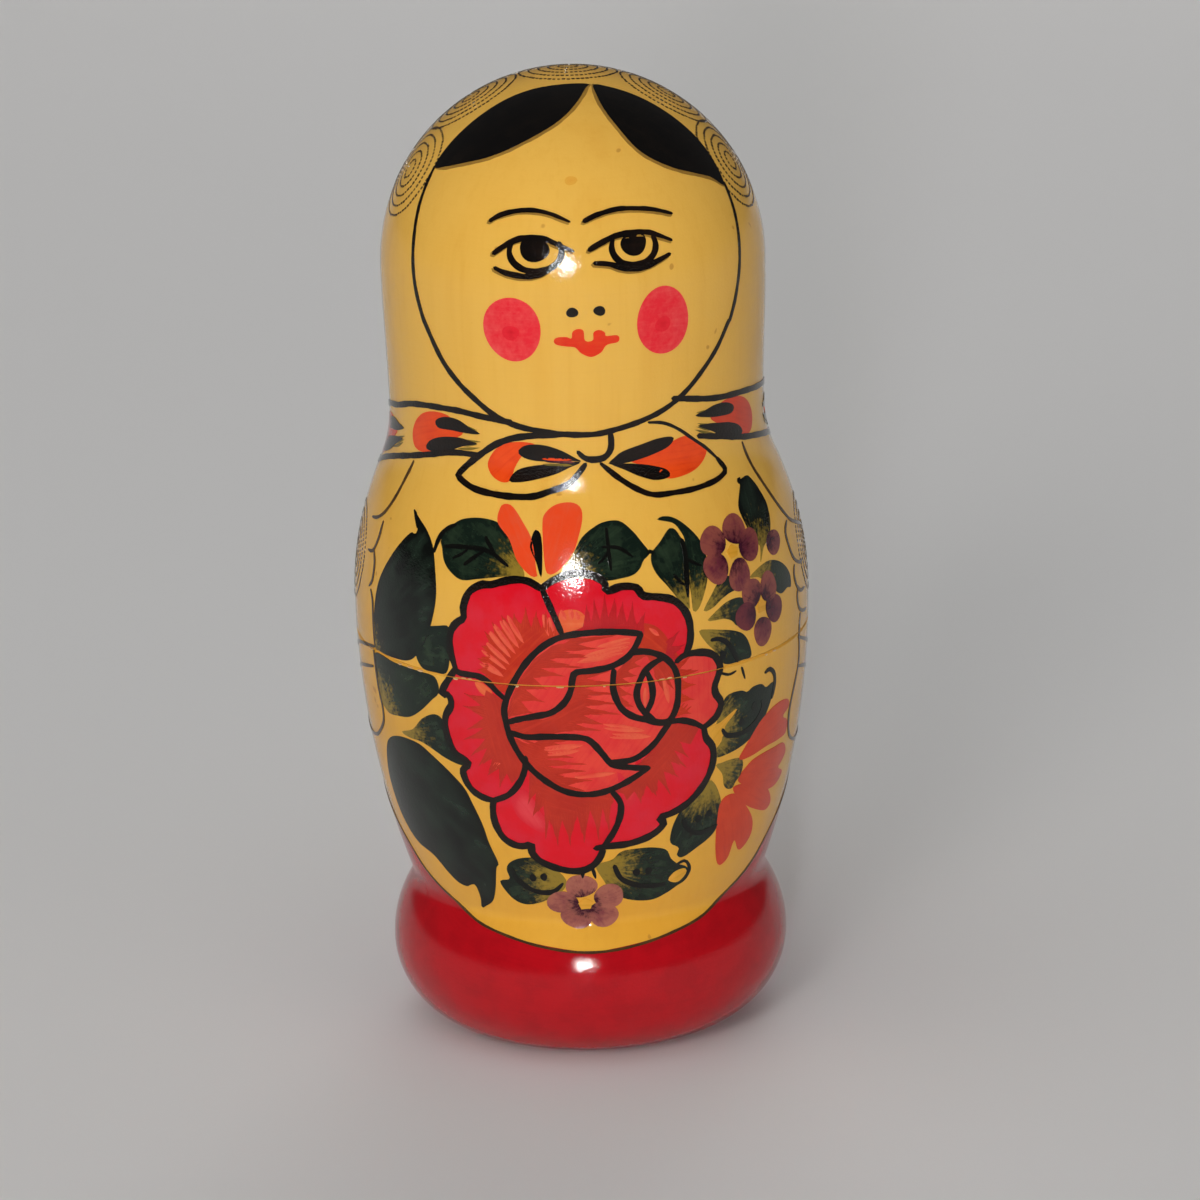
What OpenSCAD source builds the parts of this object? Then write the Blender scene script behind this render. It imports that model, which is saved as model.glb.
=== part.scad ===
// Matryoshka: a set of seven turned wooden dolls, each standing inside the one before.
// Millimetres. +Z runs up the turning axis, and the largest doll stands on Z = 0.
// All dolls are turned to one pattern. The sizes below are those of the largest doll,
// and the next doll is the largest copy of it that drops into the hollow with room to spare.

/* [Outline] */
// Overall height of the largest doll
doll_h = 165; // [155:1:180]
// Widest radius of the foot
foot_r = 33.8; // [31:0.1:36]
// Height of the foot's widest point
foot_z = 13.8; // [12:0.1:14]
// Radius of the foot's rounding below its widest point, in section
foot_under_arc = 14.2; // [14:0.1:20]
// Radius of the foot's rounding above its widest point, in section
foot_over_arc = 19; // [15:0.5:26]
// Radius of the groove between foot and body, in section
waist_arc = 2.8; // [1:0.1:4]
// Widest radius of the body
body_r = 38.5; // [36:0.1:42]
// Height of the body's widest point
body_z = 75; // [72:0.5:80]
// Radius of the body's side below its widest point, in section
body_arc = 146; // [120:1:200]
// Radius of the shoulder, in section
shoulder_arc = 58; // [45:1:70]
// Radius of the neck
neck_r = 31.5; // [29.5:0.1:33]
// Radius of the hollow under the head, in section
neck_arc = 22; // [12:1:35]
// Radius of the round head
head_r = 32.2; // [30:0.1:34]
// Least height of the head's side between the neck and its widest point
cheek_h = 6; // [3:0.5:20]

/* [Joint between the halves] */
// Height of the joint line
seam_z = 70; // [60:0.5:76]
// Bevel on the outer edge of both halves at the joint line
seam_bevel = 0.3; // [0.1:0.05:0.6]
// Thickness of the top half's rim at the joint
rim_t = 2.8; // [2:0.1:4]
// Height of the collar on the bottom half
collar_h = 9; // [6:0.5:12]
// Thickness of the collar
collar_t = 2.9; // [2:0.1:4]
// Bevel on the collar's outer edge
collar_bevel = 0.8; // [0.2:0.1:1.2]
// Radial clearance between collar and socket, the same for every doll
fit_gap = 0.08; // [0.04:0.01:0.2]
// Depth of the socket beyond the collar's top
socket_spare = 0.4; // [0.3:0.1:1]

/* [Hollow] */
// Thickness of the bottom half's floor
floor_t = 26; // [24:0.5:30]
// Thickness of the bottom half's wall at the floor
floor_wall = 3; // [2:0.1:4]
// Rounding between floor and wall
floor_round = 3; // [1:0.5:5]
// Thickness of the top half's wall
wall_t = 4.2; // [3:0.1:6]
// Thickness of the wood over the hollow in the head
crown_t = 7; // [5:0.5:14]
// Least radial room around the next doll
nest_gap = 0.8; // [0.5:0.1:2]

/* [Turning steps] */
// Longest straight step along the outline
step = 2.2; // [1:0.1:3]
// Sides of a full turn
turn_sides = 180; // [48:4:360]

/* [Hidden] */

// Points are [radius, height]. An arc runs from one direction to another about its centre.
function arc(centre, r, from, to) =
    let (steps = max(2, ceil(abs(to - from) * PI / 180 * r / step)))
    [for (i = [0 : steps]) let (a = from + (to - from) * i / steps) centre + r * [cos(a), sin(a)]];
function reversed(points) = [for (i = [len(points) - 1 : -1 : 0]) points[i]];
function direction(from, to) = atan2(to[1] - from[1], to[0] - from[0]);
function by_height(points) = [for (p = points) [p[1], p[0]]];

// Centres of the foot's two arcs and of the arcs of the body, shoulder and neck
under_c = [foot_r - foot_under_arc, foot_z];
over_c = [foot_r - foot_over_arc, foot_z];
body_c = [body_r - body_arc, body_z];
shoulder_c = [body_r - shoulder_arc, body_z];
neck_rise = sqrt(2 * (shoulder_arc + neck_arc) * (body_r - neck_r) - pow(body_r - neck_r, 2));
neck_c = [neck_r + neck_arc, body_z + neck_rise];

// The groove's arc touches the foot and the body from outside
waist_from_body = body_arc + waist_arc;
waist_from_foot = foot_over_arc + waist_arc;
apart = norm(over_c - body_c);
along = (pow(waist_from_body, 2) - pow(waist_from_foot, 2) + pow(apart, 2)) / (2 * apart);
aside = sqrt(pow(waist_from_body, 2) - pow(along, 2));
to_foot = (over_c - body_c) / apart;
waist_c = body_c + along * to_foot + aside * [-to_foot[1], to_foot[0]];
waist_on_foot = direction(over_c, waist_c);
waist_on_body = direction(body_c, waist_c);

// Foot, groove and side of the body up to its widest point
lower_outline = concat(
    arc(under_c, foot_under_arc, -asin(foot_z / foot_under_arc), 0),
    arc(over_c, foot_over_arc, 0, waist_on_foot),
    arc(waist_c, waist_arc, waist_on_foot + 180, waist_on_body + 180),
    arc(body_c, body_arc, waist_on_body, 0));

// The head is round above its widest point, and its side swells gently from the neck to there
neck_z = neck_c[1];
head_z = max(doll_h - head_r, neck_z + cheek_h);
function cheek() =
    let (steps = ceil((head_z - neck_z) / step))
    [for (i = [0 : steps]) let (s = i / steps)
        [neck_r + (head_r - neck_r) * (1 - cos(180 * s)) / 2, neck_z + (head_z - neck_z) * s]];
function dome(r, h) =
    let (steps = ceil(PI / 2 * max(r, h) / step))
    [for (i = [0 : steps]) [r * cos(90 * i / steps), head_z + h * sin(90 * i / steps)]];

// Shoulder, neck and head, drawn a distance inside the outer face and ending at a given height
function upper_outline(inside, top) =
    let (shoulder_end = direction(shoulder_c, neck_c))
    concat(
        arc(shoulder_c, shoulder_arc - inside, 0, shoulder_end),
        arc(neck_c, neck_arc + inside, shoulder_end + 180, 180),
        [for (p = cheek()) p - [inside, 0]],
        dome(head_r - inside, top - head_z));

outline = concat(lower_outline, upper_outline(0, doll_h));
outline_by_height = by_height(outline);
function outer_r(z) = lookup(z, outline_by_height);

// Collar and socket
seam_r = outer_r(seam_z);
collar_r = seam_r - rim_t - fit_gap;
collar_in_r = collar_r - collar_t;
collar_top = seam_z + collar_h;
socket_top = collar_top + socket_spare;

// Hollow of the bottom half: a round from the floor, then one arc that ends upright at the joint line
side_above_floor = [for (p = outline) if (p[1] > floor_t && p[1] < seam_z) p[0]];
floor_r = min(concat([outer_r(floor_t)], side_above_floor)) - floor_wall;
hollow_arc = (pow(collar_in_r - floor_r, 2) + pow(seam_z - floor_t, 2)) / (2 * (collar_in_r - floor_r));
hollow_c = [collar_in_r - hollow_arc, seam_z];
round_z = floor_t + floor_round;
round_c = [hollow_c[0] + sqrt(pow(hollow_arc - floor_round, 2) - pow(seam_z - round_z, 2)), round_z];
round_end = direction(hollow_c, round_c);
bottom_hollow = concat(
    arc(round_c, floor_round, -90, round_end),
    arc(hollow_c, hollow_arc, round_end, 0));

// Hollow of the top half, above the socket
inner_outline = upper_outline(wall_t, doll_h - crown_t);
top_hollow = concat(
    [[lookup(socket_top, by_height(inner_outline)), socket_top]],
    [for (p = inner_outline) if (p[1] > socket_top) p]);

// Size of each doll against the one around it: the first that clears the hollow all the way up
hollow_by_height = by_height(concat(bottom_hollow, [[collar_in_r, collar_top]], top_hollow));
function room(ratio) = min([for (p = outline) lookup(floor_t + ratio * p[1], hollow_by_height) - ratio * p[0]]);
function largest_copy(ratio) = ratio < 0.5 || room(ratio) >= nest_gap ? ratio : largest_copy(ratio - 0.002);
nest_ratio = largest_copy(0.9);
function doll_scale(n) = pow(nest_ratio, n - 1);
function doll_base(n) = n == 1 ? 0 : doll_base(n - 1) + doll_scale(n - 1) * floor_t;

// Sections of the two halves and of a solid doll, with the collar's clearance in pattern size
function bottom_section(gap) = concat(
    [[0, 0]],
    [for (p = outline) if (p[1] < seam_z - seam_bevel) p],
    [[outer_r(seam_z - seam_bevel), seam_z - seam_bevel], [seam_r - seam_bevel, seam_z]],
    [[collar_r + fit_gap - gap, seam_z], [collar_r + fit_gap - gap, collar_top - collar_bevel]],
    [[collar_r + fit_gap - gap - collar_bevel, collar_top], [collar_in_r, collar_top]],
    reversed(bottom_hollow),
    [[0, floor_t]]);
top_section = concat(
    [[seam_r - seam_bevel, seam_z], [outer_r(seam_z + seam_bevel), seam_z + seam_bevel]],
    [for (p = outline) if (p[1] > seam_z + seam_bevel) p],
    reversed(top_hollow),
    [[collar_r + fit_gap, socket_top], [collar_r + fit_gap, seam_z]]);
solid_section = concat([[0, 0]], outline);

module turned(n, section) {
    translate([0, 0, doll_base(n)])
        rotate_extrude($fn = turn_sides)
            polygon(doll_scale(n) * section);
}
module bottom_half(n) {
    color("firebrick") turned(n, bottom_section(fit_gap / doll_scale(n)));
}
module top_half(n) {
    color("goldenrod") turned(n, top_section);
}

module doll_1_bottom() { bottom_half(1); }
module doll_1_top() { top_half(1); }
module doll_2_bottom() { bottom_half(2); }
module doll_2_top() { top_half(2); }
module doll_3_bottom() { bottom_half(3); }
module doll_3_top() { top_half(3); }
module doll_4_bottom() { bottom_half(4); }
module doll_4_top() { top_half(4); }
module doll_5_bottom() { bottom_half(5); }
module doll_5_top() { top_half(5); }
module doll_6_bottom() { bottom_half(6); }
module doll_6_top() { top_half(6); }
module doll_7() { color("goldenrod") turned(7, solid_section); }

doll_1_bottom();
doll_1_top();
doll_2_bottom();
doll_2_top();
doll_3_bottom();
doll_3_top();
doll_4_bottom();
doll_4_top();
doll_5_bottom();
doll_5_top();
doll_6_bottom();
doll_6_top();
doll_7();
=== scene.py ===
"""Looks of a painted nesting doll: turned wooden halves with a thin coat of hand-painted ornament.

The wood is turned from section lines by one node tree. The painting is drawn flat, as thin films in
a map round the crown, and a second node tree drapes it over the turned outline of each doll.
"""
import math

import bmesh
import bpy
import numpy as np
from mathutils import Matrix, Vector
from mathutils.geometry import delaunay_2d_cdt


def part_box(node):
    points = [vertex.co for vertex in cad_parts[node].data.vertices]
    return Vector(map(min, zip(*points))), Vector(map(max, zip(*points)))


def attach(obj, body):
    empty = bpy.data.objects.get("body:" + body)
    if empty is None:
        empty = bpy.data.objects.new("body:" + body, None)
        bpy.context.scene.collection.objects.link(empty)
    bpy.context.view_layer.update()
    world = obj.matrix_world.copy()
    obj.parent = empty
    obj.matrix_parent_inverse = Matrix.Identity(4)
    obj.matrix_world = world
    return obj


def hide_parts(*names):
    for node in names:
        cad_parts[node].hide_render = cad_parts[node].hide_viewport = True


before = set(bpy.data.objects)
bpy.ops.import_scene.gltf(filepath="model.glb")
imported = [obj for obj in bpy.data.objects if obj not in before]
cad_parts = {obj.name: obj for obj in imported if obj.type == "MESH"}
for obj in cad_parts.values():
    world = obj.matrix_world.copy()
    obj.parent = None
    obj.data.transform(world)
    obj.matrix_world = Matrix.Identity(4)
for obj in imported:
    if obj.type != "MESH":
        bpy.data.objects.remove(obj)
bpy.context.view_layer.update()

MM = 0.001
RNG = np.random.default_rng(11)

# Outline of the largest doll, in millimetres, with the same sizes as the part's source
DOLL_H = 165.0
FOOT_R, FOOT_Z, FOOT_UNDER_ARC, FOOT_OVER_ARC = 33.8, 13.8, 14.2, 19.0
WAIST_ARC = 2.8
BODY_R, BODY_Z, BODY_ARC = 38.5, 75.0, 146.0
SHOULDER_ARC = 58.0
NECK_R, NECK_ARC = 31.5, 22.0
HEAD_R = 32.2
SEAM_Z, SEAM_BEVEL = 70.0, 0.3
RIM_T, COLLAR_H, COLLAR_T, COLLAR_BEVEL = 2.8, 9.0, 2.9, 0.8
FIT_GAP, SOCKET_SPARE = 0.08, 0.4
FLOOR_T, FLOOR_WALL, FLOOR_ROUND = 26.0, 3.0, 3.0
WALL_T, CROWN_T = 4.2, 7.0
EDGE_ROUND = 0.3
# Distance between the points of a section line, outside, in the groove over the foot and inside
STEP, GROOVE_STEP, FLOOR_STEP, HOLLOW_STEP = 0.9, 0.4, 0.6, 2.0
# Flat discs: the number of rings, and how far inside its round the floor's first ring lies
FLAT_RINGS, FLAT_INSET = 8, 2.0


def arc(centre, radius, start, end, step=STEP):
    """Points [r, z] on an arc from one angle to another, in degrees."""
    count = max(2, math.ceil(abs(math.radians(end - start)) * radius / step))
    angles = np.radians(np.linspace(start, end, count + 1))
    return np.array(centre) + radius * np.stack([np.cos(angles), np.sin(angles)], 1)


def direction(a, b):
    return math.degrees(math.atan2(b[1] - a[1], b[0] - a[0]))


def lower_outline():
    """Foot, groove and side of the body up to its widest point."""
    under = np.array([FOOT_R - FOOT_UNDER_ARC, FOOT_Z])
    over = np.array([FOOT_R - FOOT_OVER_ARC, FOOT_Z])
    body = np.array([BODY_R - BODY_ARC, BODY_Z])
    apart = np.linalg.norm(over - body)
    from_body, from_foot = BODY_ARC + WAIST_ARC, FOOT_OVER_ARC + WAIST_ARC
    along = (from_body ** 2 - from_foot ** 2 + apart ** 2) / (2 * apart)
    aside = math.sqrt(from_body ** 2 - along ** 2)
    to_foot = (over - body) / apart
    waist = body + along * to_foot + aside * np.array([-to_foot[1], to_foot[0]])
    on_foot, on_body = direction(over, waist), direction(body, waist)
    return np.concatenate([
        arc(under, FOOT_UNDER_ARC, -math.degrees(math.asin(FOOT_Z / FOOT_UNDER_ARC)), 0),
        arc(over, FOOT_OVER_ARC, 0, on_foot),
        arc(waist, WAIST_ARC, on_foot + 180, on_body + 180, GROOVE_STEP),
        arc(body, BODY_ARC, on_body, 0)])


def upper_outline(inside, top, step=STEP):
    """Shoulder, neck, cheek and round head, a distance inside the outer face."""
    shoulder = np.array([BODY_R - SHOULDER_ARC, BODY_Z])
    narrowing = BODY_R - NECK_R
    rise = math.sqrt(2 * (SHOULDER_ARC + NECK_ARC) * narrowing - narrowing ** 2)
    neck = np.array([NECK_R + NECK_ARC, BODY_Z + rise])
    end = direction(shoulder, neck)
    head_z = DOLL_H - HEAD_R
    s = np.linspace(0, 1, math.ceil((head_z - neck[1]) / step) + 1)
    swell = NECK_R - inside + (HEAD_R - NECK_R) * (1 - np.cos(np.pi * s)) / 2
    cheek = np.stack([swell, neck[1] + (head_z - neck[1]) * s], 1)
    a = np.linspace(0, np.pi / 2, math.ceil(np.pi / 2 * HEAD_R / step) + 1)
    dome = np.stack([(HEAD_R - inside) * np.cos(a), head_z + (top - head_z) * np.sin(a)], 1)
    dome[-1, 0] = 0.0
    return np.concatenate([
        arc(shoulder, SHOULDER_ARC - inside, 0, end, step),
        arc(neck, NECK_ARC + inside, end + 180, 180, step),
        cheek,
        dome])


def without_repeats(points):
    far = np.linalg.norm(np.diff(points, axis=0), axis=1) > 1e-6
    return points[np.concatenate([[True], far])]


def run_along(points):
    """Distance along a line, at each of its points."""
    return np.concatenate([[0.0], np.cumsum(np.linalg.norm(np.diff(points, axis=0), axis=1))])


# The outline from the foot up, and from the crown down with the distance t along it
OUTLINE = without_repeats(np.concatenate([lower_outline(), upper_outline(0, DOLL_H)]))
FROM_CROWN = OUTLINE[::-1]
T_LINE = run_along(FROM_CROWN)


def outer_r(z):
    return float(np.interp(z, OUTLINE[:, 1], OUTLINE[:, 0]))


def t_at(z):
    return np.interp(z, OUTLINE[:, 1], T_LINE[::-1])


def r_at(t):
    return np.interp(t, T_LINE, FROM_CROWN[:, 0])


# The joint line and the foot's edge on the painting, and the strip left bare beside the joint
SEAM_T, FOOT_EDGE_T = float(t_at(SEAM_Z)), float(T_LINE[-1])
SEAM_BARE = 0.12

# Where the halves meet: radii of rim, collar and hollow
SEAM_R = outer_r(SEAM_Z)
SOCKET_R = SEAM_R - RIM_T
COLLAR_IN_R = SOCKET_R - FIT_GAP - COLLAR_T
COLLAR_TOP = SEAM_Z + COLLAR_H
COLLAR_MIDDLE = SEAM_Z + COLLAR_H / 2
SOCKET_TOP = COLLAR_TOP + SOCKET_SPARE
BESIDE_HOLLOW = [r for r, z in OUTLINE if FLOOR_T <= z < SEAM_Z]
FLOOR_R = min(outer_r(FLOOR_T), *BESIDE_HOLLOW) - FLOOR_WALL
UNDERSIDE = [[r, 0.0] for r in np.linspace(0, OUTLINE[0, 0], FLAT_RINGS)[:-1]]


def bottom_hollow():
    """Round from the floor, then one arc that ends upright at the joint line."""
    widening, depth = COLLAR_IN_R - FLOOR_R, SEAM_Z - FLOOR_T
    radius = (widening ** 2 + depth ** 2) / (2 * widening)
    centre = np.array([COLLAR_IN_R - radius, SEAM_Z])
    round_z = FLOOR_T + FLOOR_ROUND
    inward = math.sqrt((radius - FLOOR_ROUND) ** 2 - (SEAM_Z - round_z) ** 2)
    corner = np.array([centre[0] + inward, round_z])
    meet = direction(centre, corner)
    return np.concatenate([
        arc(corner, FLOOR_ROUND, -90, meet, FLOOR_STEP),
        arc(centre, radius, meet, 0, HOLLOW_STEP)])


def rounded(before, corner, after, size=EDGE_ROUND, count=3):
    """A small round in place of a turned corner."""
    before, corner, after = (np.array(p, float) for p in (before, corner, after))
    start = corner + size * (before - corner) / np.linalg.norm(before - corner)
    end = corner + size * (after - corner) / np.linalg.norm(after - corner)
    s = np.linspace(0, 1, count + 1)[:, None]
    return (1 - s) ** 2 * start + 2 * s * (1 - s) * corner + s ** 2 * end


# Sections: lines of [r, z] points in a row, each with 1 for a lacquered face or 0 for a bare one
def bottom_section(gap):
    """Bare underside, lacquered outside, then bare collar, hollow and floor."""
    collar_r = SOCKET_R - gap
    lip, shelf = [SEAM_R - SEAM_BEVEL, SEAM_Z], [collar_r, SEAM_Z]
    below_lip = [outer_r(SEAM_Z - SEAM_BEVEL), SEAM_Z - SEAM_BEVEL]
    outside = np.concatenate([OUTLINE[OUTLINE[:, 1] < SEAM_Z - SEAM_BEVEL], [below_lip, lip]])
    chamfer, crest = [collar_r, COLLAR_TOP - COLLAR_BEVEL], [collar_r - COLLAR_BEVEL, COLLAR_TOP]
    brink, hollow = [COLLAR_IN_R, COLLAR_TOP], bottom_hollow()[::-1]
    floor_rings = np.linspace(FLOOR_R - FLOOR_ROUND - FLAT_INSET, 0, FLAT_RINGS)
    inside = np.concatenate([
        [shelf, [collar_r, COLLAR_MIDDLE]],
        rounded(shelf, chamfer, crest),
        rounded(chamfer, crest, brink),
        rounded(crest, brink, hollow[0]),
        hollow,
        [[r, FLOOR_T] for r in floor_rings]])
    return [(UNDERSIDE, 0), (outside, 1), (inside, 0)]


def top_section():
    """Bare hollow and socket, then the lacquered outside up to the crown."""
    inner = without_repeats(upper_outline(WALL_T, DOLL_H - CROWN_T, HOLLOW_STEP))
    ledge_r = float(np.interp(SOCKET_TOP, inner[:, 1], inner[:, 0]))
    hollow = np.concatenate([[[ledge_r, SOCKET_TOP]], inner[inner[:, 1] > SOCKET_TOP]])[::-1]
    rim, lip = [SOCKET_R, SEAM_Z], [SEAM_R - SEAM_BEVEL, SEAM_Z]
    socket = [SOCKET_R, SOCKET_TOP]
    inside = np.concatenate([hollow, [socket, [SOCKET_R, COLLAR_MIDDLE]], rounded(socket, rim, lip)])
    above_lip = [outer_r(SEAM_Z + SEAM_BEVEL), SEAM_Z + SEAM_BEVEL]
    outside = np.concatenate([[lip, above_lip], OUTLINE[OUTLINE[:, 1] > SEAM_Z + SEAM_BEVEL]])
    return [(inside, 0), (outside, 1)]


def solid_section():
    return [(UNDERSIDE, 0), (OUTLINE, 1)]


# Node trees: a wire is an output, and arithmetic on wires adds Math nodes
class Wire:
    def __init__(self, graph, socket):
        self.graph = graph
        self.socket = socket

    def other(self, name):
        return Wire(self.graph, self.socket.node.outputs[name])

    def to(self, operation, b=0.0):
        """A Math node's operation on the wire, and on a second value where it takes one."""
        return self.graph.add("ShaderNodeMath", {0: self, 1: b}, operation=operation)

    def within(self, low, high):
        """0 below low, 1 above high, and smooth between."""
        ends = {"Value": self, "From Min": low, "From Max": high}
        return self.graph.add("ShaderNodeMapRange", ends, interpolation_type="SMOOTHSTEP")


def infix(operation, wire_last):
    def join(wire, value):
        ends = {0: value, 1: wire} if wire_last else {0: wire, 1: value}
        return wire.graph.add("ShaderNodeMath", ends, operation=operation)
    return join


for sign, operation in (("add", "ADD"), ("sub", "SUBTRACT"), ("mul", "MULTIPLY"), ("truediv", "DIVIDE"),
                        ("pow", "POWER")):
    setattr(Wire, f"__{sign}__", infix(operation, False))
    setattr(Wire, f"__r{sign}__", infix(operation, True))


class Graph:
    def __init__(self, tree):
        self.tree = tree
        tree.nodes.clear()

    def add(self, kind, sockets=None, output=0, **settings):
        """One node: its settings first, then the values or links of its sockets."""
        node = self.tree.nodes.new(kind)
        for key, value in settings.items():
            setattr(node, key, value)
        for key, value in (sockets or {}).items():
            if isinstance(value, Wire):
                self.tree.links.new(value.socket, node.inputs[key])
            else:
                node.inputs[key].default_value = value
        return Wire(self, node.outputs[output]) if len(node.outputs) else None

    def shape(self, kind, sockets=None, output=0, **settings):
        return self.add("GeometryNode" + kind, sockets, output, **settings)

    def vector(self, x, y, z):
        return self.add("ShaderNodeCombineXYZ", {0: x, 1: y, 2: z})

    def parts(self, vector):
        split = self.add("ShaderNodeSeparateXYZ", {0: vector})
        return split, split.other("Y"), split.other("Z")


# Materials of the doll
class Finish(Graph):
    """A material with a Principled shader, drawn in pattern millimetres, so it fits every doll."""

    def __init__(self, name):
        material = bpy.data.materials.new(name)
        material.use_nodes = True
        super().__init__(material.node_tree)
        self.material = material
        self.pattern = self.attribute("pattern")
        self.object = self.add("ShaderNodeTexCoord", None, "Object")

    def attribute(self, name):
        return self.add("ShaderNodeAttribute", None, "Vector", attribute_name=name)

    def noise(self, vector, scale=1.0, detail=3.0, roughness=0.55):
        values = {"Vector": vector, "Scale": scale, "Detail": detail, "Roughness": roughness}
        return self.add("ShaderNodeTexNoise", values)

    def upright(self, across, along, detail, roughness):
        """Noise drawn out along the upright grain of the wood."""
        x, y, z = self.parts(self.object)
        stretched = self.vector(x * across, y * across, z * along)
        return self.noise(stretched, detail=detail, roughness=roughness)

    def mix(self, factor, a, b):
        """From colour a to colour b."""
        a, b = (c if isinstance(c, Wire) else (*c, 1.0) for c in (a, b))
        return self.add("ShaderNodeMix", {0: factor, 6: a, 7: b}, 2, data_type="RGBA", clamp_factor=True)

    def bump(self, height, distance, strength):
        return self.add("ShaderNodeBump", {"Height": height, "Distance": distance, "Strength": strength})

    def surface(self, colour, roughness, normal=None, shine=0.5):
        values = {"Base Color": colour, "Roughness": roughness, "Specular IOR Level": shine}
        if normal is not None:
            values["Normal"] = normal
        shader = self.add("ShaderNodeBsdfPrincipled", values)
        self.add("ShaderNodeOutputMaterial", {"Surface": shader})
        return self.material


# The lacquer's gloss, roughness and strength of grain, and the depths of grain and chisel marks in metres
LACQUER_SHINE, LACQUER_ROUGH, LACQUER_GRAIN = 0.36, 0.06, 0.45
LACQUER_BUMP, CHISEL_BUMP = 0.0001, 0.00012
# Waves of the lacquer's grain, to a metre
PEEL_FINE, PEEL_SLOW = 2600.0, 420.0
# Colours of the stained wood at the head and at the foot, of its grain and of its specks
STAIN_HIGH, STAIN_LOW = (0.78, 0.44, 0.075), (0.73, 0.345, 0.028)
STAIN_GRAIN, STAIN_SPECK = (0.62, 0.27, 0.02), (0.40, 0.15, 0.02)
# Colours of the bare wood, of its fibres and of the chisel's rings
WOOD_PALE, WOOD_FIBRE, WOOD_RING = (0.74, 0.56, 0.35), (0.60, 0.42, 0.24), (0.50, 0.33, 0.17)
# Waves of a paint's pattern, to a millimetre: patches, mottling, and the brush along and across a stroke
PATCHES, MOTTLES, BRUSH_ALONG, BRUSH_ACROSS = 0.22, 1.1, 0.12, 1.6
# How far in from its edge, in millimetres, a touch of paint still shows it
EDGE_REACH = 1.6


def lacquer_grain(finish, strength=LACQUER_GRAIN):
    """Fine orange-peel of brushed lacquer, which breaks up a highlight."""
    fine = finish.noise(finish.object, PEEL_FINE, 2.0)
    slow = finish.noise(finish.object, PEEL_SLOW, 2.0)
    return finish.bump(fine * 0.6 + slow * 0.4, LACQUER_BUMP, strength)


def yellow_stain():
    """Yellow-stained limewood under clear lacquer: upright grain, patches and a warmer foot end."""
    f = Finish("yellow_stained_wood")
    fibre = f.upright(across=700.0, along=34.0, detail=4.0, roughness=0.62)
    growth = f.upright(across=130.0, along=7.0, detail=3.0, roughness=0.5)
    patch = f.noise(f.pattern, 0.045)
    height = f.parts(f.pattern)[2]
    turning = f.noise(f.vector(0.0, 0.0, height * 1.7), roughness=0.7)
    low = 1.0 - height.within(25.0, 125.0)
    warm = low * 0.75 + (patch - 0.5) * 0.7
    ground = f.mix(warm, STAIN_HIGH, STAIN_LOW)
    lines = fibre.within(0.45, 0.8) * 0.16 + growth.within(0.5, 0.75) * 0.18
    lines = lines + turning.within(0.45, 0.75) * 0.06
    streaked = f.mix(lines, ground, STAIN_GRAIN)
    speck = f.noise(f.object, 330.0, 1.0).within(0.76, 0.80)
    colour = f.mix(speck * 0.55, streaked, STAIN_SPECK)
    return f.surface(colour, LACQUER_ROUGH + fibre * 0.06, lacquer_grain(f), LACQUER_SHINE)


def bare_wood():
    """Bare turned limewood: upright grain and fine rings from the chisel."""
    f = Finish("bare_limewood")
    fibre = f.upright(across=520.0, along=40.0, detail=4.0, roughness=0.6)
    x, y, z = f.parts(f.pattern)
    out = (x * x + y * y) ** 0.5
    ring = f.noise(f.vector(out * 1.3, z * 1.3, 0.0), detail=2.0, roughness=0.6)
    ground = f.mix(fibre.within(0.35, 0.75), WOOD_PALE, WOOD_FIBRE)
    colour = f.mix(ring.within(0.55, 0.8) * 0.35, ground, WOOD_RING)
    return f.surface(colour, 0.62 + fibre * 0.15, f.bump(ring * 0.7 + fibre * 0.3, CHISEL_BUMP, 0.7))


PAINTS = {}


def paint(name, colour, second, patches, streaks, edge=0.0, mottled=0.35, root=None, reach=8.0,
          grain=LACQUER_GRAIN):
    """Adds a brushed paint under lacquer, which drifts to a second tone.

    It does so in patches, along the stroke and at its edge. With a root colour, the paint thins out to
    that colour within a reach, in millimetres, from where the brush started.
    """
    f = Finish(name)
    along, across, depth = f.parts(f.attribute("stroke"))
    patch = f.noise(f.pattern, PATCHES)
    mottle = f.noise(f.pattern, MOTTLES, 4.0, 0.6)
    brush = f.noise(f.vector(along * BRUSH_ALONG, across * BRUSH_ACROSS, 0.0), roughness=0.6)
    share = patch.within(0.38, 0.68) * patches + brush.within(0.45, 0.7) * streaks
    share = share + (mottle - 0.5) * mottled + (1.0 - depth.within(0.0, EDGE_REACH)) * edge
    tone = f.mix(share, colour, second)
    if root is not None:
        uneven = along + (brush - 0.5) * reach + (mottle - 0.5) * reach * 1.4
        tone = f.mix(1.0 - uneven.within(reach * 0.35, reach), tone, root)
    PAINTS[name] = f.surface(tone, LACQUER_ROUGH + mottle * 0.05, lacquer_grain(f, grain), LACQUER_SHINE)


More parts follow.
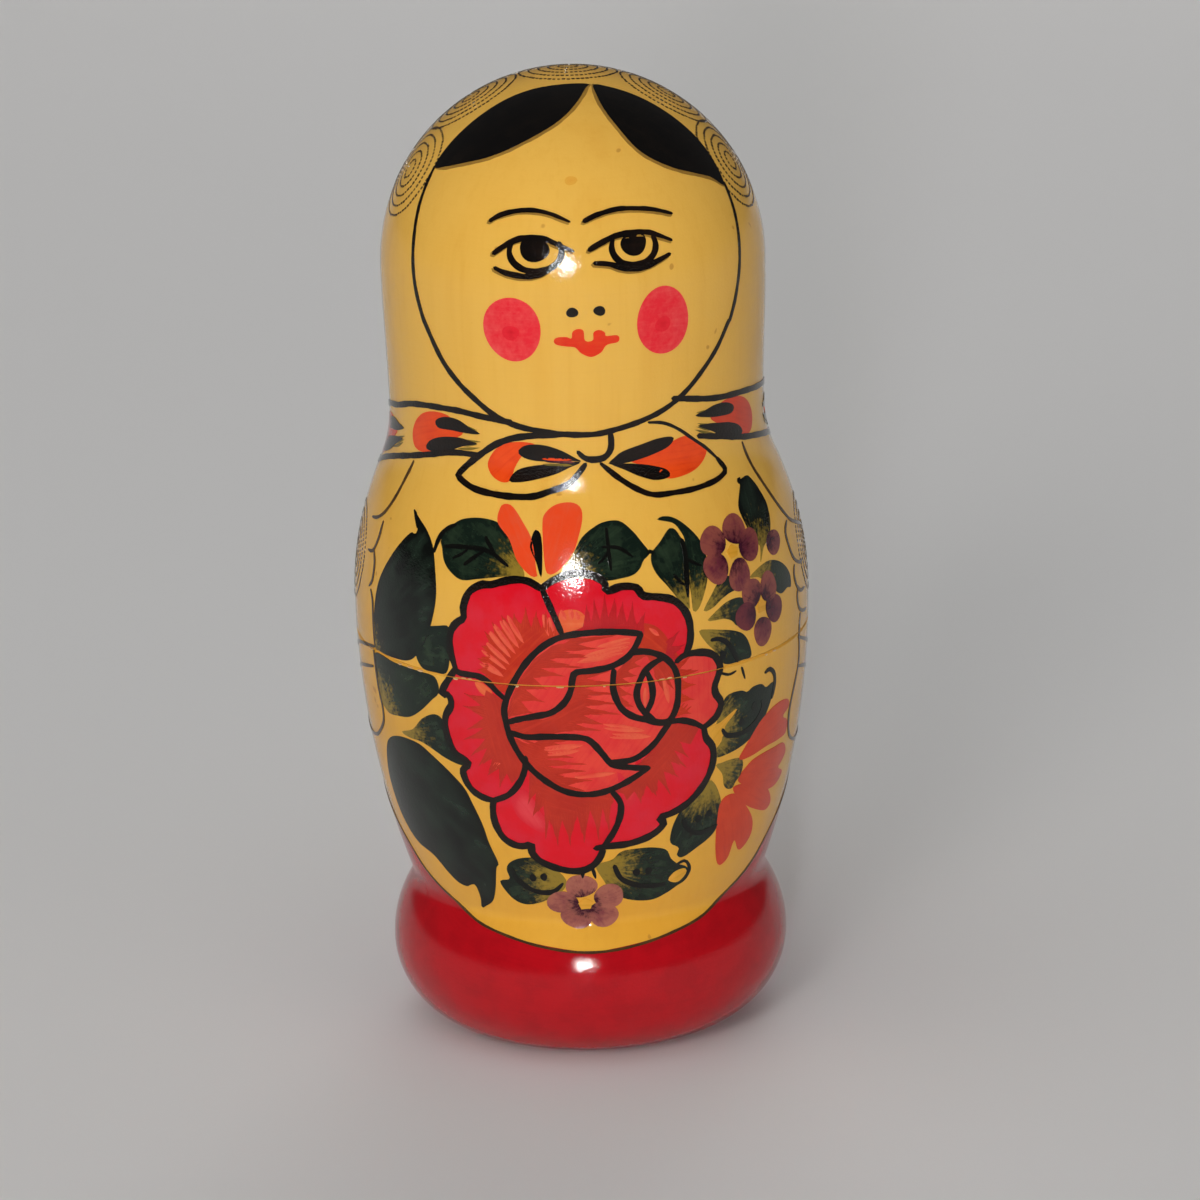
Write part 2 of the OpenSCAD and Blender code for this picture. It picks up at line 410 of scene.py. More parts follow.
YELLOW = yellow_stain()
BARE = bare_wood()
LEAF_ROOT, PLUM_ROOT = (0.26, 0.17, 0.02), (0.035, 0.003, 0.014)
paint("skirt_red", (0.43, 0.003, 0.008), (0.31, 0.002, 0.006), 0.5, 0.2)
# Black line paint: its browner second tone, in patches and streaks, is partly a dry brush texture and partly
# painted sheen, speckles of light on the lacquer's grain
paint("line_black", (0.003, 0.002, 0.0015), (0.016, 0.007, 0.004), 0.4, 0.4, grain=0.9)
paint("line_smear", (0.24, 0.13, 0.025), (0.4, 0.21, 0.03), 0.4, 0.3, 0.5)
paint("hair_black", (0.002, 0.0016, 0.0015), (0.009, 0.006, 0.004), 0.3, 0.4)
paint("petal_crimson", (0.66, 0.004, 0.014), (0.65, 0.018, 0.038), 0.6, 0.1)
paint("petal_rose", (0.7, 0.05, 0.062), (0.64, 0.016, 0.03), 0.4, 0.3, 0.9)
paint("flame_red", (0.42, 0.02, 0.01), (0.52, 0.032, 0.014), 0.5, 0.6)
paint("flame_dark", (0.42, 0.006, 0.01), (0.52, 0.012, 0.014), 0.5, 0.6)
paint("flame_orange", (0.45, 0.016, 0.004), (0.56, 0.038, 0.008), 0.5, 0.7)
paint("flame_bud", (0.42, 0.02, 0.008), (0.54, 0.034, 0.014), 0.5, 0.7)
paint("petal_salmon", (0.72, 0.052, 0.034), (0.66, 0.026, 0.026), 0.7, 0.5)
paint("petal_peach", (0.75, 0.125, 0.056), (0.68, 0.04, 0.028), 0.4, 0.6, 0.4)
paint("fringe_orange", (0.7, 0.085, 0.02), (0.74, 0.15, 0.05), 0.6, 0.5)
paint("petal_orange", (0.8, 0.068, 0.006), (0.68, 0.04, 0.004), 0.4, 0.5, 0.15)
paint("petal_coral", (0.76, 0.06, 0.012), (0.72, 0.085, 0.03), 0.6, 0.5, 0.1)
paint("petal_brick", (0.64, 0.052, 0.013), (0.54, 0.036, 0.01), 0.5, 0.5, 0.1)
paint("leaf_dark", (0.002, 0.003, 0.002), (0.013, 0.024, 0.015), 0.6, 0.5, -0.4, root=LEAF_ROOT)
paint("leaf_green", (0.004, 0.01, 0.006), (0.02, 0.036, 0.018), 0.6, 0.5, -0.5, 1.2, LEAF_ROOT)
paint("leaf_line", (0.002, 0.002, 0.0016), (0.006, 0.006, 0.004), 0.4, 0.4)
paint("leaf_olive", (0.1, 0.085, 0.012), (0.25, 0.16, 0.02), 0.7, 0.9)
paint("plum", (0.14, 0.022, 0.028), (0.07, 0.008, 0.024), 0.8, 0.3, -0.2, 1.4, PLUM_ROOT, 4.6)
paint("plum_pale", (0.25, 0.062, 0.046), (0.12, 0.018, 0.032), 0.8, 0.3, -0.3, 1.6, PLUM_ROOT, 4.6)
paint("plum_light", (0.36, 0.115, 0.078), (0.2, 0.045, 0.05), 0.8, 0.3, -0.3, 1.6, PLUM_ROOT, 3.6)
paint("rouge", (0.76, 0.014, 0.026), (0.8, 0.085, 0.08), 0.3, 0.2, 0.25, 1.4)
paint("rouge_core", (0.6, 0.003, 0.012), (0.74, 0.012, 0.024), 0.3, 0.2, 0.8, 1.4)
paint("lip_red", (0.74, 0.026, 0.006), (0.76, 0.07, 0.01), 0.5, 0.3)
paint("line_brown", (0.045, 0.022, 0.01), (0.11, 0.055, 0.015), 0.5, 0.5)
paint("dot_grey", (0.045, 0.027, 0.011), (0.1, 0.055, 0.018), 0.6, 0.4)
paint("ground_ochre", (0.74, 0.36, 0.035), (0.62, 0.29, 0.02), 0.5, 0.6)
paint("chip_pale", (0.72, 0.48, 0.25), (0.56, 0.34, 0.14), 0.5, 0.2)
paint("resin_amber", (0.68, 0.29, 0.03), (0.74, 0.38, 0.05), 0.5, 0.0, 0.6)
PAINT_NAMES = list(PAINTS)


# Node trees for shapes
# Points nearer than this become one: in metres on turned wood, in millimetres in paint
SEAM_MERGE, FILM_MERGE = 0.000002, 0.0002
# The share of its height by which a coat's underside sinks, and the least lacquer of a lacquered face
UNDER_SHARE, LEAST_LACQUER = 0.2, 0.75
# Rosettes: each ring's turn in radians, the stray of a dash in ring gaps, its least and greatest size, and
# the slack in finding its ring
RING_TWIST, DASH_STRAY, DASH_LEAST, DASH_MOST = 0.7, 0.04, 0.8, 1.15
ROUNDING = 0.0001


def shape_tree(name, inputs):
    """An empty geometry tree with named inputs, and wires from them."""
    tree = bpy.data.node_groups.new(name, "GeometryNodeTree")
    graph = Graph(tree)
    tree.interface.new_socket("Geometry", in_out="INPUT", socket_type="NodeSocketGeometry")
    tree.interface.new_socket("Geometry", in_out="OUTPUT", socket_type="NodeSocketGeometry")
    for title, kind in inputs.items():
        tree.interface.new_socket(title, in_out="INPUT", socket_type="NodeSocket" + kind)
    start = graph.add("NodeGroupInput")
    return tree, graph, {title: start.other(title) for title in ["Geometry", *inputs]}


def named(graph, name, kind="FLOAT"):
    return graph.shape("InputNamedAttribute", {"Name": name}, data_type=kind)


def stored(graph, geometry, name, kind, value):
    sockets = {"Geometry": geometry, "Name": name, "Value": value}
    return graph.shape("StoreNamedAttribute", sockets, data_type=kind, domain="POINT")


def placed(graph, geometry, r, angle, height, given):
    """Keeps the place in pattern millimetres, then sets the real place in metres.

    The angle is 0 at the face, which looks towards -Y.
    """
    pattern = graph.vector(r * angle.to("SINE"), r * angle.to("COSINE") * -1.0, height)
    kept = stored(graph, geometry, "pattern", "FLOAT_VECTOR", pattern)
    metres = given["Scale"] * MM
    ends = {0: named(graph, "pattern", "FLOAT_VECTOR"), 1: graph.vector(metres, metres, metres),
            2: graph.vector(0.0, 0.0, given["Base"])}
    real = graph.add("ShaderNodeVectorMath", ends, operation="MULTIPLY_ADD")
    return graph.shape("SetPosition", {"Geometry": kept, "Position": real})


def coloured(graph, geometry, material, **selection):
    return graph.shape("SetMaterial", {"Geometry": geometry, "Material": material, **selection})


def ended(graph, geometry):
    graph.add("NodeGroupOutput", {"Geometry": geometry})


def turning_tree():
    """Turns a section line of [r, 0, z] points round the axis."""
    tree, g, given = shape_tree("turn_on_lathe", {
        "Sides": "Int", "Scale": "Float", "Base": "Float", "Lacquered": "Material", "Bare": "Material"})
    line, sides = given["Geometry"], given["Sides"]
    count = g.shape("AttributeDomainSize", {"Geometry": line}, component="MESH")
    rows = count - 1.0
    sheet = g.shape("MeshGrid", {
        "Size X": rows, "Size Y": sides * 1.0, "Vertices X": count, "Vertices Y": sides + 1.0})
    at, lacquered = g.shape("InputPosition"), named(g, "lacquered")
    x, y = g.parts(at)[:2]
    row = (x + rows * 0.5).to("ROUND")
    angle = (y / sides + 0.5) * math.tau
    point = g.shape("SampleIndex", {"Geometry": line, "Value": at, "Index": row}, data_type="FLOAT_VECTOR")
    gloss = g.shape("SampleIndex", {"Geometry": line, "Value": lacquered, "Index": row}, data_type="FLOAT")
    r, height = g.parts(point)[::2]
    sheet = stored(g, sheet, "lacquered", "FLOAT", gloss)
    turned = placed(g, sheet, r, angle, height, given)
    closed = g.shape("MergeByDistance", {"Geometry": turned, "Distance": SEAM_MERGE})
    whole = coloured(g, g.shape("RealizeInstances", {"Geometry": closed}), given["Bare"])
    ended(g, coloured(g, whole, given["Lacquered"], Selection=lacquered.to("GREATER_THAN", LEAST_LACQUER)))
    return tree


def draping_tree():
    """Gives flat paint a thickness and lays it on the turned outline.

    The flat paint is a map round the crown: x to the right and y to the face, each t long, and z the
    coat's height.
    """
    tree, g, given = shape_tree("drape_paint", {
        "Outline": "Object", "Scale": "Float", "Base": "Float", "Sunk": "Float"})
    flat = given["Geometry"]
    rim = g.shape("ExtrudeMesh", {"Mesh": flat, "Offset Scale": 0.0, "Individual": False}, mode="FACES")
    x, y, z = g.parts(g.shape("InputPosition"))
    sunk = g.vector(x, y, 0.0 - given["Sunk"] - z * UNDER_SHARE)
    low_rim = 1.0 - rim.other("Top")
    rim = g.shape("SetPosition", {"Geometry": rim, "Selection": low_rim, "Position": sunk})
    under = g.shape("SetPosition", {"Geometry": flat, "Position": sunk})
    under = g.shape("FlipFaces", {"Mesh": under})
    film = g.shape("JoinGeometry")
    for part in (under, rim):
        g.tree.links.new(part.socket, film.socket.node.inputs[0])
    film = g.shape("MergeByDistance", {"Geometry": film, "Distance": FILM_MERGE})
    line = g.shape("ObjectInfo", {"Object": given["Outline"]}, "Geometry")
    line = g.shape("MeshToCurve", {"Mesh": line})
    t = (x * x + y * y) ** 0.5
    spot = g.shape("SampleCurve", {"Curves": line, "Length": t}, mode="LENGTH", use_all_curves=True)
    spot_r, spot_z = g.parts(spot.other("Position"))[::2]
    tangent_r, tangent_z = g.parts(spot.other("Tangent"))[::2]
    laid = placed(g, film, spot_r - tangent_z * z, x.to("ARCTAN2", y), spot_z + tangent_r * z, given)
    laid = g.shape("RealizeInstances", {"Geometry": laid})
    colour = named(g, "paint", "INT")
    for index, name in enumerate(PAINT_NAMES):
        chosen = g.add("FunctionNodeCompare", {2: colour, 3: index}, data_type="INT", operation="EQUAL")
        laid = coloured(g, laid, PAINTS[name], Selection=chosen)
    ended(g, laid)
    return tree


def rosette_tree():
    """Rings of short dashes, flat: ring number i has i times the dashes of the first."""
    tree, g, given = shape_tree("dashed_rosette", {
        "Rings": "Int", "Dashes": "Int", "Ring gap": "Float", "Dash length": "Float", "Dash width": "Float",
        "Seed": "Int"})
    rings, dashes, seed = given["Rings"], given["Dashes"], given["Seed"]
    points = g.shape("Points", {"Count": rings * (rings + 1.0) * 0.5 * dashes})
    index = g.shape("InputIndex")
    ring = ((1.0 + 8.0 * (index + 1.0) / dashes) ** 0.5 - 1.0) / 2.0
    ring = (ring - ROUNDING).to("CEIL")
    turn = (index / dashes - ring * (ring - 1.0) * 0.5) / ring * math.tau + ring * RING_TWIST
    ends = {2: -DASH_STRAY, 3: DASH_STRAY, "Seed": seed}
    stray = g.add("FunctionNodeRandomValue", ends, 1, data_type="FLOAT")
    ends = {2: DASH_LEAST, 3: DASH_MOST, "Seed": seed + 5.0}
    full = g.add("FunctionNodeRandomValue", ends, 1, data_type="FLOAT")
    out = (ring + stray) * given["Ring gap"]
    place = g.vector(out * turn.to("COSINE"), out * turn.to("SINE"), 0.0)
    points = g.shape("SetPosition", {"Geometry": points, "Position": place})
    dash = g.shape("MeshGrid", {"Size X": 1.0, "Size Y": 1.0, "Vertices X": 2, "Vertices Y": 2})
    spin = g.vector(0.0, 0.0, turn + math.pi / 2)
    size = g.vector(given["Dash length"] * full, given["Dash width"] * full, 1.0)
    marks = g.shape("InstanceOnPoints", {"Points": points, "Instance": dash, "Rotation": spin, "Scale": size})
    ended(g, coloured(g, g.shape("RealizeInstances", {"Geometry": marks}), PAINTS["dot_grey"]))
    return tree


def grown(name, mesh, tree, values):
    """Runs a tree on a mesh with its named inputs set, and gives the plain mesh that comes out."""
    source = shown(name + "_source", mesh)
    modifier = source.modifiers.new("shape", "NODES")
    modifier.node_group = tree
    for item in tree.interface.items_tree:
        if item.in_out == "INPUT" and item.name in values:
            modifier[item.identifier] = values[item.name]
    source.update_tag()
    bpy.context.view_layer.update()
    result = bpy.data.meshes.new_from_object(source.evaluated_get(bpy.context.evaluated_depsgraph_get()))
    source.modifiers.remove(modifier)
    bpy.data.objects.remove(source)
    result.name = name
    return result


def shown(name, mesh):
    piece = bpy.data.objects.new(name, mesh)
    bpy.context.scene.collection.objects.link(piece)
    return piece


def line_mesh(name, points, lacquered=None):
    """A line of [r, z] points standing in the XZ plane."""
    mesh = bpy.data.meshes.new(name)
    mesh.from_pydata([(r, 0.0, z) for r, z in points], [(i, i + 1) for i in range(len(points) - 1)], [])
    if lacquered is not None:
        coats = mesh.attributes.new("lacquered", "FLOAT", "POINT")
        coats.data.foreach_set("value", np.array(lacquered, np.float32))
    return mesh


# Flat drawing: points in polar form (angle, t). The angle is 0 at the face and grows to the viewer's right
def drawn(shape):
    """Points [a, b], which may be written as 'a b, a b, ...'."""
    if isinstance(shape, str):
        shape = [[float(v) for v in pair.split()] for pair in shape.split(",")]
    return np.atleast_2d(shape)


def on_side(shape):
    """From degrees round the doll and height in millimetres."""
    degrees, heights = drawn(shape).T
    return np.stack([np.radians(degrees), t_at(heights)], 1)


# Two sheets, of the flowers and the bow, count to the right and down: units to a degree and to a millimetre,
# degrees from the left edge to the face, and the heights of their top edges
SHEET_DEGREE, SHEET_MM, SHEET_LEFT = 12, 14, 60
FLOWER_TOP, BOW_TOP = 100, 163


def on_sheet(shape, top=FLOWER_TOP):
    across, down = drawn(shape).T
    return on_side(np.stack([across / SHEET_DEGREE - SHEET_LEFT, top - down / SHEET_MM], 1))


def on_crown(shape):
    """From millimetres right of the crown and towards the face."""
    right, forward = drawn(shape).T
    return np.stack([np.arctan2(right, forward), np.hypot(right, forward)], 1)


def crown_map(polar):
    return np.stack([polar[:, 1] * np.sin(polar[:, 0]), polar[:, 1] * np.cos(polar[:, 0])], 1)


def side_map(polar, middle_t):
    return np.stack([polar[:, 0] * r_at(middle_t), -polar[:, 1]], 1)


# A film that turns this far, in radians, is a ring, which is laid out with a hole of this radius.
# A film that comes this near the crown is laid out round it
RING_TURN, RING_HOLE, NEAR_CROWN = 6, 15, 28


def unrolled(polar):
    """A film laid flat with little stretch: as a ring, round the crown or along the side."""
    if np.ptp(polar[:, 0]) > RING_TURN:
        return crown_map(polar - [0, polar[:, 1].min() - RING_HOLE])
    if polar[:, 1].min() < NEAR_CROWN:
        return crown_map(polar)
    return side_map(polar, float(polar[:, 1].mean()))


def curved(points, closed, per_span=6):
    """A smooth line through the points."""
    count = len(points)
    closed = closed and count >= 3
    out = []
    for i in range(count if closed else count - 1):
        around = np.arange(i - 1, i + 3)
        p0, p1, p2, p3 = points[around % count if closed else np.clip(around, 0, count - 1)]
        for s in np.arange(per_span) / per_span:
            out.append(0.5 * (2 * p1 + (p2 - p0) * s + (2 * p0 - 5 * p1 + 4 * p2 - p3) * s * s
                              + (3 * p1 - p0 - 3 * p2 + p3) * s ** 3))
    if not closed:
        out.append(points[-1])
    return np.array(out)


def marked(line, run, gap):
    """Marks about a gap apart along a line, and the points at them."""
    marks = np.linspace(0, run[-1], max(3, math.ceil(run[-1] / gap)) + 1)
    return marks, np.stack([np.interp(marks, run, column) for column in line.T], 1)


def evenly(points, gap, closed):
    """The same line with points about a gap apart."""
    line = np.concatenate([points, points[:1]]) if closed else points
    spaced = marked(line, run_along(line), gap)[1]
    return spaced[:-1] if closed else spaced


def is_inside(points, ring):
    x, y = points[:, :1], points[:, 1:]
    ax, ay = ring[:, 0], ring[:, 1]
    bx, by = np.roll(ax, -1), np.roll(ay, -1)
    with np.errstate(divide="ignore", invalid="ignore"):
        crosses = ((ay > y) != (by > y)) & (x < (bx - ax) * (y - ay) / (by - ay) + ax)
    return crosses.sum(1) % 2 == 1


def gap_to(points, ring):
    """Distance from each point to the nearest of the ring's edges."""
    a, b = ring, np.roll(ring, -1, axis=0)
    ab = b - a
    s = ((points[:, None] - a) * ab).sum(2) / np.maximum((ab * ab).sum(1), 1e-9)
    near = a + np.clip(s, 0, 1)[..., None] * ab
    return np.linalg.norm(points[:, None] - near, axis=2).min(1)


# How far strokes that fan out from a root lie apart in the brush pattern, in millimetres to a radian
ROOT_SPREAD = 9


def from_root(off):
    return np.stack([np.hypot(off[:, 0], off[:, 1]), np.arctan2(off[:, 1], off[:, 0]) * ROOT_SPREAD], 1)


class Painting:
    """All the paint of one doll, flat, before it is cut at the joint and draped."""
    # Heights in millimetres of the lowest coat and each coat more, and the hairs by which films differ
    FIRST_COAT, COAT = 0.030, 0.030
    HAIR, HAIRS = 0.00045, 40
    # The bake sheet: gap between films in millimetres, and its width against the square of their area
    SHEET_GAP, SHEET_SLACK = 1.0, 1.06
    # Fills, in shares of the grid: from row to row, and from the edge
    ROW_SHARE, EDGE_SHARE = 0.87, 0.4
    # Strokes: fine steps in a gap, length of a tapered end in half widths, and least radius in millimetres
    FINE, TAPER, LEAST_R = 30, 6.0, 0.5
    # Sizes and paces of the waves that make a stroke or a dab uneven
    STROKE_WAVES, DAB_WAVES = ((0.07, 1.3), (0.04, 3.1)), ((0.05, 2), (0.04, 3))

    def __init__(self):
        self.points = []
        self.flats = []
        self.strokes = []
        self.faces = []
        self.colours = []
        self.made = 0

    def waves(self, sizes, run):
        """A slow and a fast wave along a run, which are others in each film."""
        return [size * np.sin(pace * run + k * self.made) for k, (size, pace) in enumerate(sizes, 1)]

    def film(self, polar, stroke, faces, colour, coat):
        """Adds triangles, turned to face outwards. Each film is a hair higher than the one before."""
        self.made += 1
        lift = self.FIRST_COAT + self.COAT * coat + self.HAIR * (self.made % self.HAIRS)
        start = len(self.points)
        flat = crown_map(polar)
        self.flats.append((start, unrolled(polar)))
        self.points += [(a, t, lift) for a, t in polar]
        self.strokes += [tuple(s) for s in stroke]
        for face in faces:
            p, q, r = flat[face[0]], flat[face[1]], flat[face[2]]
            turn = (q[0] - p[0]) * (r[1] - p[1]) - (q[1] - p[1]) * (r[0] - p[0])
            self.faces.append([start + int(i) for i in (face if turn > 0 else face[::-1])])
        self.colours += [PAINT_NAMES.index(colour)] * len(faces)

    def side_by_side(self, low_t, high_t):
        """Places from 0 to 1 of the films between two distances from the crown, spread out on one sheet."""
        places = np.zeros((len(self.points), 2))
        films = []
        for start, flat in self.flats:
            t = [self.points[start + k][1] for k in range(len(flat))]
            if max(t) > low_t and min(t) < high_t:
                films.append((start, flat - flat.min(0), np.ptp(flat, axis=0) + self.SHEET_GAP))
        films.sort(key=lambda film: -film[2][1])
        width = self.SHEET_SLACK * math.sqrt(sum(size[0] * size[1] for start, flat, size in films))
        x = y = row = 0.0
        for start, flat, size in films:
            if x + size[0] > width:
                x, y, row = 0.0, y + row, 0.0
            places[start:start + len(flat)] = flat + [x, y]
            x += size[0]
            row = max(row, size[1])
        return (places + self.SHEET_GAP / 2) / max(width, y + row)

    def fill(self, polar, colour, coat, at_crown=False, sharp=False, grid=1.3, edge_step=0.6, root=None):
        """A closed shape, filled. A root is the point from which the brush was drawn."""
        middle_t = float(polar[:, 1].mean())
        ring = crown_map(polar) if at_crown else side_map(polar, middle_t)
        if not sharp:
            ring = evenly(curved(ring, True), edge_step, True)
        low, high = ring.min(0), ring.max(0)
        xs = np.arange(low[0], high[0], grid)
        ys = np.arange(low[1], high[1], grid * self.ROW_SHARE)
        inner = np.array([(x + (k % 2) * grid / 2, y) for k, y in enumerate(ys) for x in xs])
        inner = inner[is_inside(inner, ring)]
        inner = inner[gap_to(inner, ring) > grid * self.EDGE_SHARE]
        every = [Vector(p) for p in np.concatenate([ring, inner])]
        found = delaunay_2d_cdt(every, [], [list(range(len(ring)))], 1, 1e-5)
        flat = np.array([tuple(v) for v in found[0]])
        faces = [list(f) for f in found[2]]
        if at_crown:
            back = on_crown(flat)
        else:
            back = np.stack([flat[:, 0] / r_at(middle_t), -flat[:, 1]], 1)
        centre = ring.mean(0)
        axis = np.linalg.svd(ring - centre, full_matrices=False)[2][0]
        off = flat - centre
        stroke = np.stack([off @ axis, off @ np.array([-axis[1], axis[0]]), gap_to(flat, ring)], 1)
        if root is not None:
            stroke[:, :2] = from_root(flat - side_map(root, middle_t))
        self.film(back, stroke, faces, colour, coat)

    def stroke(self, polar, colour, width, coat, ends=(0.5, 0.5), gap=0.7):
        """A brush line. ends gives the share of the width left at its start and end."""
        fine = evenly(curved(polar, False, 8), gap / self.FINE, False)
        measure = np.stack([fine[:, 0] * r_at(fine[:, 1]), fine[:, 1]], 1)
        marks, line = marked(fine, run_along(measure), gap)
        length = marks[-1]
        r = np.maximum(r_at(line[:, 1]), self.LEAST_R)
        step = np.gradient(line, axis=0)
        right, down = step[:, 0] * r, step[:, 1]
        pace = np.maximum(np.hypot(right, down), 1e-9)
        right, down = right / pace, down / pace
        widths = np.atleast_1d(width)
        half = np.interp(np.linspace(0, 1, len(line)), np.linspace(0, 1, len(widths)), widths) / 2
        taper = min(self.TAPER * half.max(), length / 2)
        for share, away in ((ends[0], marks), (ends[1], length - marks)):
            half *= share + (1 - share) * np.clip(away / taper, 0, 1) ** 0.5
        slow, fast = self.waves(self.STROKE_WAVES, marks)
        half *= 1 + slow + fast
        left_side = np.stack([line[:, 0] + half * down / r, line[:, 1] - half * right], 1)
        right_side = np.stack([line[:, 0] - half * down / r, line[:, 1] + half * right], 1)
        tail = line[0] - np.array([right[0] / r[0], down[0]]) * (half[0] if ends[0] > 0 else 0.0)
        nose = line[-1] + np.array([right[-1] / r[-1], down[-1]]) * (half[-1] if ends[1] > 0 else 0.0)
        points = np.concatenate([left_side, right_side, [tail, nose]])
        along = np.concatenate([marks, marks, [0, length]])
        across = np.concatenate([-half, half, [0, 0]])
        n = len(line)
        faces = []
        for i in range(n - 1):
            faces += [[i, i + 1, n + i + 1], [i, n + i + 1, n + i]]
        faces += [[2 * n, 0, n], [2 * n + 1, 2 * n - 1, n - 1]]
        self.film(points, np.stack([along, across, np.ones(len(points))], 1), faces, colour, coat)

    def dab(self, centre, size, colour, coat, lean=0.0, corners=18, wobble=1.0, root=None):
        """An oval touch of the brush, centre in polar form and size in millimetres, slightly uneven."""
        a = np.arange(corners) / corners * math.tau
        slow, fast = self.waves(self.DAB_WAVES, a)
        uneven = 1 + wobble * (slow + fast)
        rim = np.stack([size[0] * np.cos(a) * uneven, size[1] * np.sin(a) * uneven], 1)
        rim = rim @ np.array([[math.cos(lean), math.sin(lean)], [-math.sin(lean), math.cos(lean)]])
        flat = np.concatenate([rim, rim * 0.5, [[0.0, 0.0]]])
        r = r_at(centre[1])
        polar = np.stack([centre[0] + flat[:, 0] / max(r, self.LEAST_R), centre[1] - flat[:, 1]], 1)
        faces = []
        for i in range(corners):
            j = (i + 1) % corners
            faces += [[i, j, corners + j], [i, corners + j, corners + i]]
            faces.append([corners + i, corners + j, 2 * corners])
        small = min(size)
        depth = np.concatenate([np.zeros(corners), np.full(corners, small / 2), [small]])
        if root is not None:
            flat = from_root((polar - root) * [r, 1.0])
        self.film(polar, np.concatenate([flat, depth[:, None]], 1), faces, colour, coat)


# The painting, from the foot up. A coat is a height: the more, the later it was painted
SKIRT_EDGE = "0 21, 30 23.2, 45 25.5, 60 30, 70 35, 83 39.8, 100 46, 120 49.5, 150 50.5, 180 50.5"
SKIRT_COLUMNS, SKIRT_ROWS = 128, 58
SKIRT_END = 0.3
# The skirt's brush pattern: its size round the doll and down it, and the depth at its foot
SKIRT_ROUND, SKIRT_DOWN, SKIRT_DEPTH = 30, 40, 1.6


def skirt(p):
    """Red from the foot to the edge of the apron, lowest in front and high under the hands and behind."""
    edge = drawn(SKIRT_EDGE)
    angles = np.arange(SKIRT_COLUMNS) / SKIRT_COLUMNS * math.tau
    turned = np.degrees(np.minimum(angles, math.tau - angles))
    smooth = curved(edge, False, 8)
    tops = t_at(np.interp(turned, smooth[:, 0], smooth[:, 1]))
    shares = np.linspace(0, 1, SKIRT_ROWS)
    low = FOOT_EDGE_T - SKIRT_END
    points = [(a, top + (low - top) * s) for s in shares for a, top in zip(angles, tops)]
    strokes = [(a * SKIRT_ROUND, s * SKIRT_DOWN, SKIRT_DEPTH * s) for s in shares for a in angles]
    faces = []
    for i in range(SKIRT_ROWS - 1):
        for j in range(SKIRT_COLUMNS):
            a, b = i * SKIRT_COLUMNS + j, i * SKIRT_COLUMNS + (j + 1) % SKIRT_COLUMNS
            faces += [[a, b, b + SKIRT_COLUMNS], [a, b + SKIRT_COLUMNS, a + SKIRT_COLUMNS]]
    p.film(np.array(points), np.array(strokes), faces, "skirt_red", coat=0.6)
    hem = np.concatenate([edge[:0:-1] * [-1, 1], edge])
    p.stroke(on_side(hem), "line_brown", width=0.45, coat=3, ends=(1, 1))


# Rose, on the flower sheet. The outer lines run round it from the notch at the top, down the left side
ROSE_RIM = [
    "597 190, 560 175, 520 172, 480 178, 440 188, 410 190, 375 205, 358 225, 350 250, 352 272, 330 285, "
    "310 305, 303 335, 308 365, 320 396",
    "320 400, 300 420, 264 464, 290 467, 297 490, 272 522, 268 560, 285 600, 300 615, 342 632, 318 650, "
    "320 675, 340 700, 375 715, 415 720",
    "415 720, 408 745, 410 780, 430 815, 465 832, 500 835, 528 828, 528 850, 550 870, 590 885, 640 895, "
    "690 897, 730 885, 755 865, 768 842",
    "745 836, 790 832, 850 830, 910 820, 950 805, 972 786, 957 770, 1000 762, 1050 745, 1095 715, "
    "1125 680, 1137 645, 1130 610, 1105 585, 1095 558",
    "1092 556, 1110 550, 1140 535, 1155 510, 1150 495, 1135 480, 1130 460, 1140 440, 1150 415, "
    "1135 390, 1110 375, 1075 368, 1035 366",
    "1030 366, 1045 340, 1048 300, 1035 265, 1000 235, 950 222, 905 215, 885 195, 840 190, 795 198, "
    "790 180, 765 165, 720 155, 670 160, 625 175, 600 190"]
ROSE_INNER = [
    "318 398, 332 406, 360 407, 400 408, 430 420, 455 440, 478 455",
    "415 720, 470 700, 510 665, 530 630, 535 600", "800 690, 825 720, 822 760, 800 800, 765 838",
    "972 525, 1020 528, 1060 540, 1092 556", "1000 380, 1020 370, 1040 367", "600 190, 630 240, 658 292",
    "892 302, 820 293, 740 292, 660 300, 600 325, 550 365, 510 415, 480 470, 478 505, 495 560, 530 610, "
    "580 650, 640 680, 700 692, 760 690, 820 675, 870 655, 912 636",
    "912 636, 860 630, 800 618, 770 590, 745 565, 720 550, 670 545, 600 545, 540 548, 486 538",
    "892 303, 875 330, 850 355, 800 375, 740 383, 697 386, 686 402, 680 430, 660 460, 620 485, 570 495, "
    "520 505, 482 515",
    "808 385, 805 430, 825 475, 860 500, 900 512, 950 525, 980 520, 1000 490, 1005 450, 1000 410, "
    "980 380, 950 360, 910 347, 870 345, 842 356",
    "962 365, 925 378, 895 400, 875 445, 890 485, 932 520", "908 398, 922 430, 922 465, 903 497",
    "985 520, 960 545, 930 575, 890 600, 850 612, 792 612"]
BUD = (
    "890 303, 820 293, 740 292, 660 300, 600 325, 550 365, 510 415, 480 470, 478 505, 495 560, 530 610, "
    "580 650, 640 680, 700 692, 760 690, 820 675, 870 655, 908 636, 868 624, 900 596, 940 565, 985 520, "
    "1004 470, 1002 415, 980 380, 945 358, 905 346, 878 336")
RIGHT_PETAL = (
    "985 522, 1040 530, 1092 552, 1140 533, 1152 505, 1133 478, 1132 455, 1148 415, 1132 390, 1105 376, "
    "1060 369, 1010 378, 1003 420, 1003 470")
